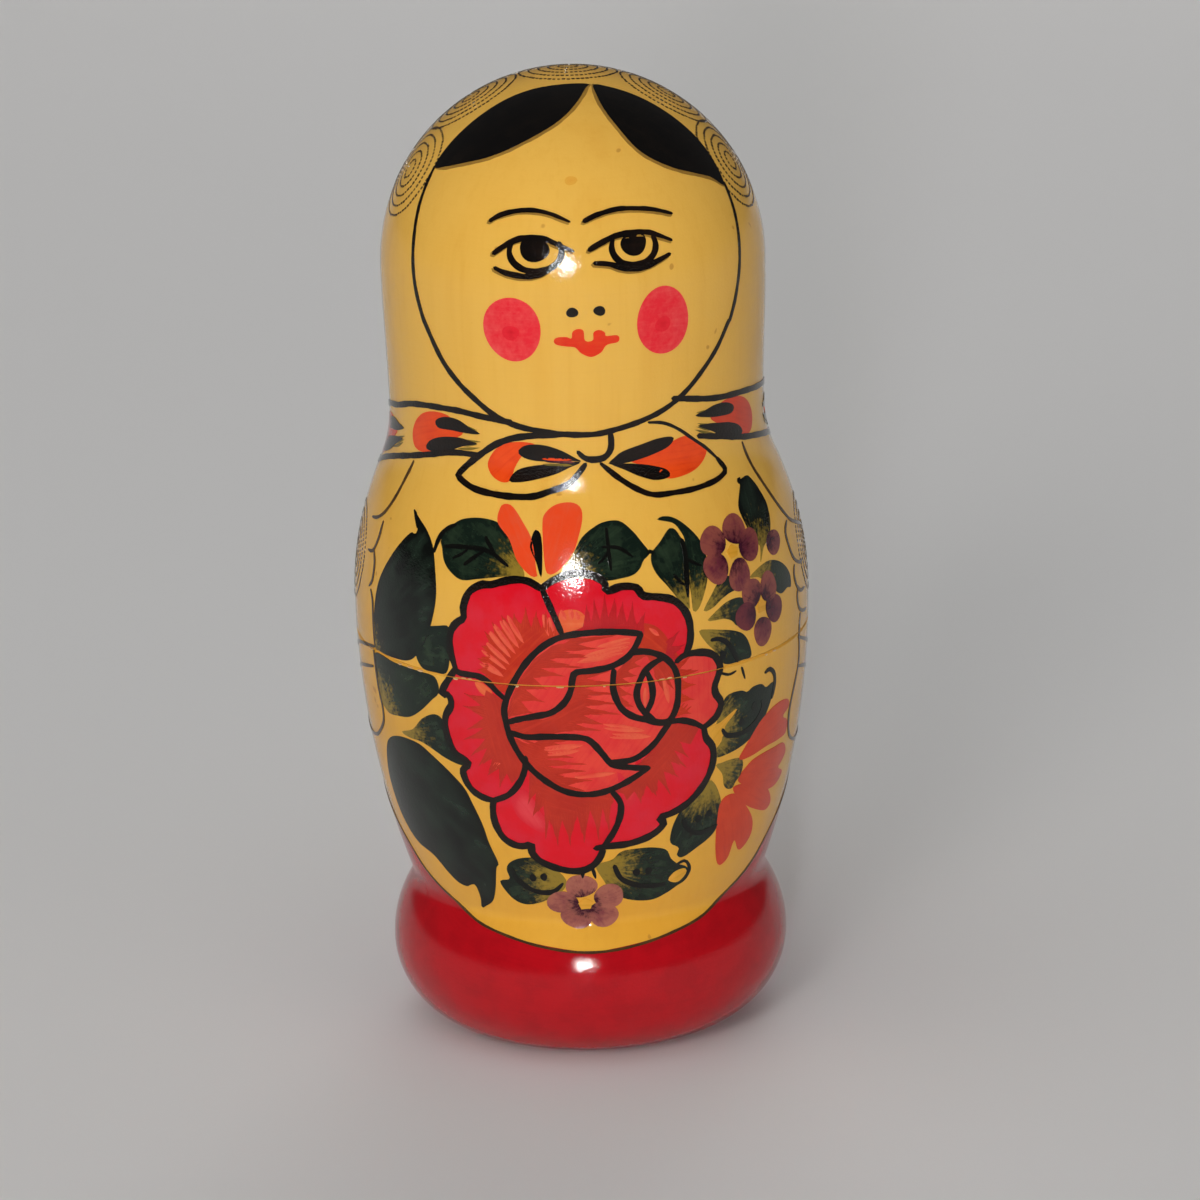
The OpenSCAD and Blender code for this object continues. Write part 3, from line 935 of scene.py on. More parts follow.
# Second touches in the rose: lighter patches first, then toothed shades drawn with a dry brush
ROSE_PATCHES = [
    ("478 708, 515 684, 545 700, 570 740, 600 775, 570 795, 520 775, 488 750", "petal_rose"),
    ("650 262, 655 243, 690 237, 716 243, 732 258, 740 280, 700 292, 656 296", "fringe_orange"),
    ("886 300, 880 280, 910 280, 940 290, 966 312, 985 340, 1008 372, 985 380, 950 356, 905 345, "
     "880 332", "flame_orange"),
    ("385 424, 410 424, 442 444, 430 458, 400 446", "fringe_orange"),
    ("985 610, 1020 612, 1030 640, 1010 655, 985 640", "petal_rose"),
    ("815 640, 850 668, 880 700, 860 730, 835 715", "petal_rose")]
ROSE_TEETH = [
    ("545 630, 600 662, 650 684, 700 694, 760 692, 800 690, 803 715, 794 724, 786 780, 768 730, "
     "755 793, 728 734, 707 809, 686 745, 660 813, 638 760, 618 813, 598 754, 582 794, 583 720, "
     "548 748, 560 690, 536 711, 540 670", "flame_red"),
    ("815 690, 870 665, 915 640, 880 625, 925 592, 960 555, 985 532, 1040 540, 1077 556, 1050 592, "
     "1012 580, 1036 618, 995 600, 1026 640, 985 628, 1004 664, 962 650, 982 702, 945 668, 938 708, "
     "908 680, 890 716, 868 692, 845 714, 835 696", "flame_red"),
    ("474 462, 477 505, 488 548, 510 588, 533 612, 530 640, 502 655, 484 670, 470 645, 446 673, "
     "445 635, 408 654, 425 612, 382 628, 412 585, 368 602, 408 562, 352 567, 405 535, 356 541, "
     "408 510, 352 488, 402 480, 362 458, 415 456, 421 440, 450 450", "flame_red"),
    ("493 445, 520 402, 560 357, 610 322, 656 302, 648 260, 630 286, 614 252, 598 282, 582 247, "
     "568 280, 550 245, 536 276, 516 254, 508 280, 480 260, 478 292, 450 280, 455 310, 428 303, "
     "440 330, 416 334, 432 355, 405 365, 425 380, 400 392, 424 402, 410 420, 440 425, 455 436",
     "flame_orange"),
    ("690 288, 720 278, 735 235, 746 268, 758 226, 772 264, 786 220, 797 260, 816 220, 822 264, "
     "840 230, 851 274, 869 238, 880 282, 905 258, 900 300, 830 294, 740 291", "flame_dark"),
    ("975 325, 1004 315, 986 342, 1018 345, 993 362, 1012 376, 985 380, 965 362", "flame_dark"),
    ("1004 385, 1040 376, 1010 400, 1060 410, 1012 425, 1052 445, 1010 455, 1045 480, 1005 485, "
     "1040 510, 990 518, 1003 470", "flame_orange"),
    ("483 500, 500 455, 530 405, 575 355, 630 322, 700 304, 790 303, 705 318, 745 329, 655 335, "
     "725 347, 620 355, 690 372, 590 375, 645 393, 570 400, 605 426, 545 430, 585 455, 530 460, "
     "556 486, 510 496", "flame_bud"),
    ("484 520, 560 505, 640 487, 680 450, 690 405, 703 392, 775 389, 725 402, 795 413, 720 425, "
     "798 441, 715 448, 803 466, 720 470, 795 491, 715 492, 765 513, 690 512, 740 529, 660 531, "
     "600 541, 540 543, 495 532", "flame_bud"),
    ("500 554, 600 549, 695 551, 620 560, 685 573, 600 580, 665 595, 590 601, 685 613, 600 620, "
     "705 633, 630 642, 725 656, 660 668, 705 683, 640 676, 580 645, 530 606", "flame_bud"),
    ("812 392, 850 362, 880 352, 905 356, 868 370, 885 380, 845 388, 872 402, 832 405, 860 424, "
     "822 425, 852 446, 828 450, 858 475, 835 476, 815 440", "flame_bud"),
    ("905 350, 960 366, 985 392, 1000 430, 970 410, 985 440, 955 420, 962 450, 935 415, 925 385",
     "flame_bud")]
# Light dry strokes, from and to, each painted three times with a stray in sheet units
ROSE_LIGHTS = [
    "430 322, 500 372", "442 300, 505 355", "458 284, 520 345", "478 268, 530 330", "500 262, 545 318",
    "420 348, 490 385", "412 372, 480 402", "608 256, 620 300", "626 262, 636 298", "662 244, 672 262",
    "684 241, 690 262", "704 244, 706 262", "925 298, 948 312", "850 328, 720 348", "830 342, 700 362",
    "860 315, 760 326", "600 578, 712 566", "610 590, 700 580", "690 650, 810 640", "780 520, 900 540",
    "800 545, 920 556", "420 634, 452 620", "905 440, 900 480", "960 420, 975 480"]
LIGHT_TIMES, LIGHT_STRAY = 3, 6


def rose(p):
    p.fill(on_sheet(", ".join(ROSE_RIM)), "petal_crimson", coat=1)
    for petal in (RIGHT_PETAL, BUD):
        p.fill(on_sheet(petal), "petal_salmon", coat=1.6)
    for outline, colour in ROSE_PATCHES:
        p.fill(on_sheet(outline), colour, coat=2.1)
    for outline, colour in ROSE_TEETH:
        p.fill(on_sheet(outline), colour, coat=2.7, sharp=True)
    for light in ROSE_LIGHTS:
        start, end = drawn(light)
        for k in range(LIGHT_TIMES):
            off = RNG.uniform(-LIGHT_STRAY, LIGHT_STRAY, 2)
            line = [start + off, (start + end) / 2 + off * 0.6, end]
            p.stroke(on_sheet(line), "petal_peach", width=0.75, coat=3.1, ends=(0.4, 0.0))
    for line in ROSE_RIM:
        p.stroke(on_sheet(line), "line_black", width=1.3, coat=4, ends=(0.8, 0.8))
    for line in ROSE_INNER:
        p.stroke(on_sheet(line), "line_black", width=1.12, coat=3.8, ends=(0.8, 0.7))


# A corner with a cosine above this is a tooth
TOOTH_COSINE = 0.35
# Dry strokes of one tooth: place across it, where they start and where they end, as shares of its size
TOOTH_STROKES = [
    (-0.85, -0.35, 0.24), (-0.38, -0.25, 0.78), (0.0, -0.15, 1.28), (0.38, -0.25, 0.78),
    (0.85, -0.35, 0.24)]
TOOTH_STRAY, TOOTH_WIDTHS = 0.14, (0.30, 0.42, 0.26)


def teeth_of(outline):
    """The sharp points of an outline, each with the corner before it and the corner after it."""
    before, after = np.roll(outline, 1, axis=0), np.roll(outline, -1, axis=0)
    to_before, to_after = before - outline, after - outline
    turn = to_after[:, 0] * to_before[:, 1] - to_after[:, 1] * to_before[:, 0]
    across = after[:, 0] * outline[:, 1] - after[:, 1] * outline[:, 0]
    lengths = np.linalg.norm(to_before, axis=1) * np.linalg.norm(to_after, axis=1)
    narrow = (to_before * to_after).sum(1) / lengths > TOOTH_COSINE
    outward = turn * -np.sign(across.sum()) > 0
    return [(before[k], outline[k], after[k]) for k in np.flatnonzero(narrow & outward)]


def rose_fringe(p):
    """Thin dry strokes that fray the toothed shades of the rose."""
    for outline, colour in ROSE_TEETH:
        for before, tip, after in teeth_of(drawn(outline)):
            foot = (before + after) / 2
            out, half = tip - foot, (after - before) / 2
            for aside, start, end in TOOTH_STROKES:
                stray = RNG.uniform(-TOOTH_STRAY, TOOTH_STRAY, 3)
                first = foot + half * aside + out * start
                last = foot + half * (aside * 0.8 + stray[0]) + out * (end + stray[1])
                line = [first, (first + last) / 2 + half * stray[2], last]
                p.stroke(on_sheet(line), colour, TOOTH_WIDTHS, coat=2.85, ends=(0.3, 0.0), gap=0.9)


# Leaves on the flower sheet: outline, the root that the brush came from, colour
LEAVES = [
    ("97 60, 140 76, 180 95, 214 125, 236 175, 248 230, 240 280, 216 336, 180 378, 132 406, 48 414, "
     "-24 414, -60 410, -60 360, -50 300, -34 250, -7 210, 34 165, 73 130, 107 107, 127 108, 132 91",
     "-150 420", "leaf_dark"),
    ("200 315, 260 302, 300 300, 305 340, 300 380, 284 414, 240 417, 190 414, 164 380, 175 340",
     "-40 400", "leaf_green"),
    ("-60 425, 60 425, 180 425, 240 430, 252 465, 220 490, 168 525, 113 550, 48 560, -12 562, -60 532, "
     "-72 475", "-75 560", "leaf_green"),
    ("60 598, 120 580, 170 545, 220 525, 254 530, 270 560, 284 600, 330 624, 344 640, 300 640, 250 630, "
     "200 615, 150 605, 100 605", "50 600", "leaf_green"),
    ("-52 647, 25 616, 132 612, 200 635, 260 665, 310 700, 336 742, 360 790, 374 840, 396 890, 384 906, "
     "365 960, 340 1000, 300 1020, 276 1027, 284 1000, 276 966, 254 967, 230 975, 190 970, 150 950, "
     "110 924, 77 910, -8 892, -77 840, -103 770, -95 717", "-200 600", "leaf_dark"),
    ("244 102, 290 62, 340 48, 400 45, 450 52, 490 74, 512 100, 530 132, 545 165, 500 165, 460 170, "
     "400 178, 340 186, 300 174, 268 152, 252 122", "575 172", "leaf_green"),
    ("650 165, 690 122, 722 80, 760 58, 800 46, 850 46, 890 70, 920 100, 938 122, 916 136, 904 152, "
     "880 166, 840 172, 800 175, 750 170, 700 165", "628 172", "leaf_green"),
    ("945 122, 975 102, 1005 80, 1020 74, 1036 80, 1050 98, 1058 115, 1056 180, 1052 240, 1050 262, "
     "1030 250, 1005 222, 980 196, 955 172, 941 146", "1068 290", "leaf_green"),
    ("978 52, 1000 47, 1030 51, 1060 64, 1090 85, 1115 110, 1128 140, 1130 170, 1120 205, 1100 240, "
     "1080 265, 1062 268, 1060 230, 1056 180, 1060 120, 1062 100, 1050 80, 1035 66, 1010 59",
     "1068 290", "leaf_green"),
    ("1098 272, 1135 235, 1160 215, 1190 205, 1215 210, 1230 225, 1238 240, 1200 245, 1165 255, "
     "1130 270", "1062 285", "leaf_green"),
    ("1110 296, 1165 270, 1200 262, 1235 262, 1255 272, 1250 295, 1222 328, 1200 312, 1170 302, "
     "1135 300", "1062 292", "leaf_green"),
    ("1078 318, 1110 318, 1150 325, 1200 335, 1240 350, 1265 375, 1277 412, 1240 414, 1180 414, "
     "1150 400, 1130 372, 1105 352", "1066 316", "leaf_green"),
    ("1290 225, 1340 210, 1395 205, 1450 218, 1490 240, 1512 265, 1508 292, 1482 288, 1442 294, "
     "1408 280, 1370 254, 1330 232", "1275 228", "leaf_green"),
    ("1307 70, 1325 45, 1354 20, 1350 13, 1380 10, 1410 10, 1433 29, 1453 60, 1462 85, 1453 120, "
     "1433 145, 1406 160, 1380 170, 1360 190, 1350 200, 1363 165, 1340 150, 1320 110",
     "1345 205", "leaf_dark"),
    ("1140 562, 1158 522, 1172 496, 1200 488, 1240 490, 1262 498, 1290 490, 1330 492, 1352 505, "
     "1385 500, 1396 506, 1385 540, 1360 575, 1330 600, 1290 620, 1250 632, 1200 640, 1150 642, "
     "1140 626, 1168 600, 1150 580", "1105 572", "leaf_green"),
    ("1150 662, 1180 690, 1190 718, 1205 732, 1230 735, 1242 720, 1260 708, 1268 686, 1260 666, "
     "1240 660, 1200 658, 1172 660", "1132 664", "leaf_green"),
    ("1128 697, 1095 716, 1060 735, 1035 755, 1010 790, 1000 825, 1005 845, 1030 856, 1038 865, "
     "1032 878, 1046 888, 1070 885, 1110 870, 1150 855, 1180 835, 1193 800, 1188 765, 1172 735, "
     "1150 708", "1128 690", "leaf_green"),
    ("745 885, 800 870, 830 850, 880 846, 940 848, 990 860, 1010 885, 1040 904, 1075 916, 1095 935, "
     "1080 955, 1050 965, 1010 980, 960 992, 900 990, 840 978, 800 960, 770 925",
     "742 890", "leaf_green"),
    ("390 940, 430 930, 425 904, 440 885, 480 870, 540 865, 580 880, 620 904, 640 930, 620 955, "
     "580 974, 530 990, 480 997, 440 990, 410 970", "646 928", "leaf_green")]
LEAF_HOLES = [
    "1010 945, 1030 925, 1070 920, 1080 935, 1050 955",
    "1105 562, 1150 555, 1190 540, 1222 530, 1205 546, 1176 566, 1172 586, 1142 616, 1120 600"]
# Black veins, curls and smiles on the leaves, with their width
LEAF_LINES = [
    ("222 135, 236 100, 262 78, 294 66", 0.8), ("262 118, 330 112, 400 112, 442 120, 492 144", 0.75),
    ("408 84, 428 104, 450 122", 0.7), ("345 150, 378 130, 406 117", 0.7),
    ("300 140, 330 128, 352 114", 0.5), ("805 60, 808 110, 812 152", 0.6),
    ("790 100, 840 104, 882 126", 0.6), ("775 135, 798 120, 812 100", 0.5),
    ("932 122, 942 118, 950 126", 0.7), ("1052 104, 1057 140, 1051 180, 1048 232", 0.9),
    ("1060 148, 1085 160, 1106 168", 0.6), ("1010 178, 1030 198, 1048 206", 0.6),
    ("1120 345, 1150 347, 1182 365, 1205 394, 1218 414", 0.85),
    ("1166 574, 1180 589, 1210 596, 1250 598, 1290 590, 1322 574, 1342 548, 1332 534", 0.95),
    ("1346 467, 1368 463, 1394 480, 1399 508, 1388 540", 0.8),
    ("1043 788, 1060 812, 1092 828, 1132 832, 1182 822", 0.95),
    ("808 888, 828 920, 864 938, 912 950, 960 954, 1002 952", 1.0),
    ("1040 904, 1070 900, 1092 925, 1080 950", 0.6),
    ("444 900, 460 928, 504 952, 550 960, 594 954, 626 932", 1.0), ("132 92, 108 66, 96 58", 0.7),
    ("698 888, 697 916", 0.7), ("732 890, 742 918", 0.6), ("1352 18, 1350 12, 1362 8", 0.7),
    ("1150 430, 1185 440, 1212 436", 0.5), ("1236 432, 1250 462", 0.5)]
LEAF_DOTS = "1160 388, 1243 568, 1297 540, 1100 792, 1140 785, 886 910, 930 910, 520 920, 560 916"


def leaves(p):
    for outline, root, colour in LEAVES:
        p.fill(on_sheet(outline), colour, coat=1.2, root=on_sheet(root))
    for hole in LEAF_HOLES:
        p.fill(on_sheet(hole), "ground_ochre", coat=1.9)
    for line, width in LEAF_LINES:
        p.stroke(on_sheet(line), "leaf_line", width, coat=2.6, ends=(0.7, 0.4))
    for spot in on_sheet(LEAF_DOTS):
        p.dab(spot, (0.62, 0.75), "leaf_line", coat=2.6)


# Small flowers
PETALS = [
    ("444 50, 446 20, 460 10, 490 14, 530 45, 565 85, 582 150, 584 164, 560 160, 520 130, 490 85",
     "petal_coral"),
    ("600 30, 625 12, 660 3, 700 3, 725 15, 728 40, 715 75, 700 105, 670 135, 640 155, 615 155, "
     "605 120, 600 80, 597 50", "petal_coral"),
    ("560 90, 572 62, 592 70, 600 110, 598 165, 580 130, 562 105", "leaf_line"),
    ("1247 665, 1273 635, 1327 590, 1380 570, 1440 561, 1500 568, 1513 590, 1473 605, 1513 624, "
     "1513 655, 1460 660, 1380 660, 1300 668", "petal_brick"),
    ("1253 720, 1300 685, 1360 675, 1440 675, 1507 680, 1540 710, 1513 730, 1493 740, 1540 760, "
     "1513 780, 1460 785, 1393 775, 1320 750", "petal_brick"),
    ("1235 735, 1345 743, 1432 778, 1483 822, 1457 840, 1380 822, 1295 787", "petal_brick"),
    ("1183 770, 1243 752, 1312 796, 1372 848, 1380 892, 1328 918, 1285 883, 1268 927, 1225 937, "
     "1192 875", "petal_brick")]
# Purple flowers: centre, petals, petal size in millimetres, colours in turn
PLUM_FLOWERS = [
    ("1235 155",
     "1165 122, 1262 108, 1160 182, 1248 212, 1312 152", (2.5, 2.7), ("plum_pale", "plum_pale")),
    ("1328 300", "1290 262, 1258 312, 1332 362, 1394 318, 1372 262", (2.4, 2.5), ("plum_pale", "plum")),
    ("704 990",
     "690 940, 620 986, 670 1024, 770 1020, 790 970", (2.6, 2.4), ("plum_light", "plum_light"))]
PLUM_CORNERS, STAR_CORNERS = 22, 5
# A petal on its own, and the place that its brush came from
LONE_PETAL = "1440 170, 1395 150"


def small_flowers(p):
    for outline, colour in PETALS:
        p.fill(on_sheet(outline), colour, coat=1.6)
    for centre, petals, size, colours in PLUM_FLOWERS:
        middle = on_sheet(centre)[0]
        for k, spot in enumerate(on_sheet(petals)):
            lean = RNG.uniform(-0.5, 0.5)
            p.dab(spot, size, colours[k % 2], 1.8 + 0.3 * k, lean, PLUM_CORNERS, root=middle)
        p.dab(middle, (1.35, 1.2), "ground_ochre", coat=3.7, lean=0.4, corners=STAR_CORNERS)
    lone, stalk = on_sheet(LONE_PETAL)
    p.dab(lone, (2.3, 2.1), "plum_pale", coat=1.8, corners=PLUM_CORNERS, root=stalk)


# Bow under the chin: lines in degrees and height with their width, petals on the bow sheet with their coat
BOW_LINES = [
    ("-1.7 111.1, -10 110.9, -18.3 110.3, -24.2 109.1, -29.2 107.3, -34.2 105.1, -37.9 103, "
     "-37.1 102.3, -32.5 101.2, -26.7 100.7, -20 100.5, -13.3 100.7, -8.3 101.6, -3.3 102.6, 0 104.4, "
     "2.1 105.9", 1.12),
    ("21.7 112.1, 26.7 111.6, 31.7 110.1, 36.7 108, 41.7 105.9, 45.8 103.7", 0.55),
    ("45.8 103.7, 48.3 101.7, 47.5 101, 43.3 100.3, 35.8 99.9, 28.3 99.9, 21.7 100.1, 16.7 101.4, "
     "11.7 103.4, 6.7 105.9", 0.95),
    ("9.8 111, 10 109.4, 9.6 108, 7.9 106.9, 5 106.6, 2.1 106.9, 0 108", 1.1)]
BOW_PETALS = [
    ("385 805, 410 775, 450 755, 520 748, 570 755, 520 780, 490 810, 475 840, 440 845, 400 830",
     "petal_orange", 1.2),
    ("905 798, 980 790, 1060 770, 1130 760, 1190 780, 1225 800, 1205 825, 1150 845, 1060 852, 1010 840, "
     "960 815", "petal_orange", 1.2),
    ("505 768, 540 754, 600 754, 660 766, 712 785, 734 793, 700 791, 640 792, 560 791, 515 782",
     "line_black", 2.2),
    ("470 840, 500 815, 560 803, 640 797, 705 793, 730 795, 690 806, 640 821, 560 836, 500 843",
     "line_black", 2.2),
    ("828 801, 850 788, 880 775, 950 763, 1020 754, 1078 757, 1060 776, 1000 789, 930 799, 865 804",
     "line_black", 2.2),
    ("838 803, 870 803, 920 806, 980 814, 1042 829, 1053 846, 1000 850, 940 837, 885 818",
     "line_black", 2.2)]
# Streaks towards the knot: the end of each, and the way to it in sheet units
BOW_STREAKS = [("698 788", "petal_orange"), ("708 794", "plum_pale"), ("702 801", "leaf_olive")]
BOW_STREAK = "-110 -2, -50 -1, 0 0"


def bow(p):
    for outline, colour, coat in BOW_PETALS:
        p.fill(on_sheet(outline, BOW_TOP), colour, coat, grid=1.4)
    for end, colour in BOW_STREAKS:
        streak = on_sheet(drawn(end) + drawn(BOW_STREAK), BOW_TOP)
        p.stroke(streak, colour, width=0.4, coat=3.0, ends=(0.0, 0.0))
    for line, width in BOW_LINES:
        p.stroke(on_side(line), "line_black", width, coat=3.4, ends=(0.7, 0.6))


# Scarf: its hem is a band with painted fans, which runs round the back a little lower
SCARF_LINES = [
    "-20 112.8, -35 113.6, -40 113.7, -50 113.4, -60 112.6, -70 111.1, -80 110, -95 107.9, -120 105, "
    "-150 102.8, -182 102",
    "-31.3 106.6, -40 106.4, -50 105.1, -60 103.7, -70 102.3, -80 100.7, -95 98, -120 95.4, -150 93.6, "
    "-182 93",
    "30 115.5, 35 115, 46.1 113.9, 60 113.2, 70 112.5, 79.4 111.8, 90.6 110.7, 120 107, 150 103.6, "
    "182 102",
    "39.2 108.2, 50 106.8, 60 105.4, 70 104.3, 79.4 103.2, 90.6 101.8, 120 98, 150 94.6, 182 93"]
# Fans of the band: degrees of the point, the side that it spreads to, colour
SCARF_FANS = [
    (-34.5, -1, "petal_orange"), (42, 1, "petal_brick"), (-70, -1, "petal_brick"), (84, 1, "petal_orange"),
    (-108, -1, "petal_orange"), (124, 1, "petal_brick"), (-146, -1, "petal_brick")]
# One fan, in degrees away from its point and millimetres from the band's middle
FAN_RED = "2 0, 7 2.4, 13 3.2, 19 2.9, 23.5 1.4, 25.5 -0.8, 24 -2.9, 19 -3.8, 12 -3.4, 7 -1.6"
FAN_DARK = [
    "-4 0.3, 0 1.2, 4 2.1, 9 2.4, 13 1.7, 12 0.5, 6 0.1, 1 0",
    "-3 -1.5, 1 -1.1, 5 -1, 11 -1.1, 16 -1.8, 18 -3, 15 -3.6, 8 -3.4, 2 -2.3"]
FAN_STREAKS = (1.0, -1.3, -2.0, -2.6)


def on_line(text, angle):
    line = drawn(text)
    line = line[np.argsort(line[:, 0])]
    return np.interp(angle, line[:, 0], line[:, 1])


def band_middle(angle):
    upper, lower = SCARF_LINES[:2] if angle < 0 else SCARF_LINES[2:]
    return (on_line(upper, angle) + on_line(lower, angle)) / 2


def band_fan(p, point, away, red):
    """A fan of one red petal and two dark ones, which spreads from its point to one side."""
    def at(shape):
        shape = drawn(shape) * [away, 1]
        shape[:, 0] += point
        shape[:, 1] += [band_middle(a) for a in shape[:, 0]]
        return on_side(shape)
    p.fill(at(FAN_RED), red, coat=1.2)
    for petal in FAN_DARK:
        p.fill(at(petal), "line_black", coat=2.4, grid=1.2)
    for rise in FAN_STREAKS:
        streak = [[-4.0 + RNG.uniform(-1, 1.5), rise * 0.8], [0.0, rise], [4.0, rise * 1.1]]
        p.stroke(at(streak), "leaf_olive", width=(0.2, 0.5, 0.3), coat=1.9, ends=(0.0, 0.3))


def scarf(p):
    for line in SCARF_LINES:
        p.stroke(on_side(line), "line_black", width=1.02, coat=3.6, ends=(0.9, 1.0))
    for fan in SCARF_FANS:
        band_fan(p, *fan)


# Arms at the sides: thin brown lines for shoulder, gathered sleeve, cuffs and hand
ARM_LINES = [
    "-58.3 103, -60.6 100, -62.8 96.4, -66.1 93.6, -70 92.1, -73.9 91.6",
    "-65.6 92.1, -66.1 89.3, -68.3 86.8, -71.7 86.4", "-67.8 87.1, -66.1 85, -66.4 82.1, -68.3 80.7",
    "-67 80.3, -65.6 78.6, -65.3 76.4, -65 70.7", "-65 70.7, -80 68.7, -95 65.1, -106 64",
    "-67.2 66.8, -80 64.6, -95 61.1, -103 60",
    "-66 70, -65 63.6, -63.9 60, -65 57.1, -70 54.3, -74.4 53.2, -82 52.6, -90 53.5, -98 57, -105 64, "
    "-109 74, -110 84, -106 92, -100 97.4",
    "59.2 104.6, 61.1 101.1, 64.4 96.4, 68.3 92.5, 72.8 89.6, 77.2 88.2, 85 86.4",
    "70.6 89.6, 67.8 88.2, 68.1 85.7, 70 83.2, 73.9 81.8, 77.2 81.6",
    "69.7 82.1, 68.6 80.7, 69.7 78.6, 72.8 77.1, 76.7 76.9",
    "70.6 77.9, 69.7 76.4, 71.1 74.3, 75 73.1, 78.9 72.7", "70.6 69.3, 79.4 67.1, 95 63.6, 106 63",
    "71.7 63.9, 79.4 62.5, 95 59.3, 104 59",
    "71.9 73.2, 71.1 70, 71.7 65, 69.4 61.4, 67.2 57.9, 67.2 55, 69.4 52.1, 73.9 50.4, 79.4 49.6, "
    "90 49.6, 98 52.5, 105 59, 110 69, 111 80, 107 91, 100 100"]


def arms(p):
    for line in ARM_LINES:
        p.stroke(on_side(line), "line_brown", width=0.6, coat=2.4, ends=(0.5, 0.4))


# Face, hair and the oval of the scarf round them. Hair and the oval's sides are in millimetres from the crown
OVAL_LEFT = "-25.8 15.3, -30.8 19, -35 23.2, -38.3 26.9, -40.8 30.7, -42.3 34.8"
OVAL_CHIN = (
    "-49.2 127.3, -43.3 122.1, -37.5 118.7, -31.7 116.2, -25 113.7, -18.3 112.3, -11.7 111.6, -5 111.1, "
    "1.7 110.9, 6.7 111, 13.3 111.7, 20 112.6, 26.7 113.9, 33.3 115.9, 40 118.9, 46.7 122.5, 51.7 126.2")
OVAL_RIGHT = "45.2 34.8, 44.2 30.7, 42.1 26.9, 39.2 23.2, 35 19, 30.8 16.1"
OVAL_WIDTHS = (0.6, 0.75, 0.95, 1.0, 0.95, 0.8, 0.7, 0.6)
HAIR = [
    "3.5 7.8, 2.9 9, 1.7 12.8, -0.4 16.5, -3.3 19.2, -7.5 21.1, -11.7 21.9, -15.8 21.5, -20 19.8, "
    "-23.3 17.8, -25.8 15.3, -22.5 13.3, -18.3 11.7, -14.2 10.3, -10 9, -5.8 8.2, -1.7 7.9, 2.5 7.6",
    "4.2 7.7, 4.6 10.7, 5.8 14.4, 7.5 17.3, 10 20.3, 12.5 22.2, 15.8 22.9, 20 22.3, 24.2 20.3, "
    "27.5 18.2, 30.8 16.6, 28.3 14.2, 24.2 11.9, 20 10.5, 15 9.2, 10.8 8.3, 6.7 7.7"]
HAIR_EDGE = 11
# Brows and lids: line, width along it
BROWS = [
    ("-26.7 145.9, -23.3 146.9, -18.3 147.6, -12.5 147.8, -6.7 147.3, -0.7 146.1", (0.95, 0.8, 0.6)),
    ("3.8 146.1, 8.3 147, 15 147.6, 21.7 147.4, 27.5 146.9, 33.5 145.9", (0.95, 0.8, 0.7))]
LIDS = [
    ("-24.2 141, -20.8 142.3, -16.7 143.4, -12.5 143.7, -8.3 143.5, -4.2 142.6, 0.2 141.6",
     (1.05, 1.0, 0.7)),
    ("-23.6 138.7, -20 138, -14.2 137.6, -10 137.9, -6.7 138.7", (0.9, 1.0, 0.9)),
    ("5 141.7, 8.3 142.6, 13.3 143.6, 19.2 143.9, 24.2 143.6, 28.3 142.7, 31.4 141.9",
     (1.05, 0.95, 0.7)),
    ("6.4 139.6, 10.8 139.3, 15 138.5, 20 138.2, 25 138.9, 30 139.8", (0.9, 1.0, 0.95))]
SMEAR_OFF, FACE_GAP = (0.5, 0.28), 0.45
# Eyes: centre of the ring and its half width and height, then the pupil
EYES = [
    ((-11.3, 141.6), (8.0, 3.2), (-11.6, 141.9), (2.55, 2.0)),
    ((18.8, 141.8), (7.0, 3.0), (18.8, 142.2), (2.25, 1.95))]
EYE_BEND = np.radians(np.arange(155, 386, 10))
MOUTH = (
    "-6.2 126.9, -5.3 127.5, -2.5 127.6, -1 127.3, -0.7 128.4, 0.8 128.9, 2.5 128.6, 2.9 126.9, "
    "5.2 126.9, 5.4 128.2, 7.1 128.6, 8.8 128.1, 9 127.5, 12.3 127.5, 13 126.9, 12.3 126.3, 9.2 126, "
    "7.5 124.8, 4.6 124.1, 1.7 124.8, 0 125.8, -2.5 126, -5.3 126.3")
CHEEKS = [("-18.6 128.7", (4.9, 5.4)), ("26.8 129.1", (4.8, 5.6))]
CHEEK_CORE = (0.3, 0.6)
NOSTRILS, RESIN_SPOT = "-0.6 131.7, 7.3 131.8", "0 152.1"


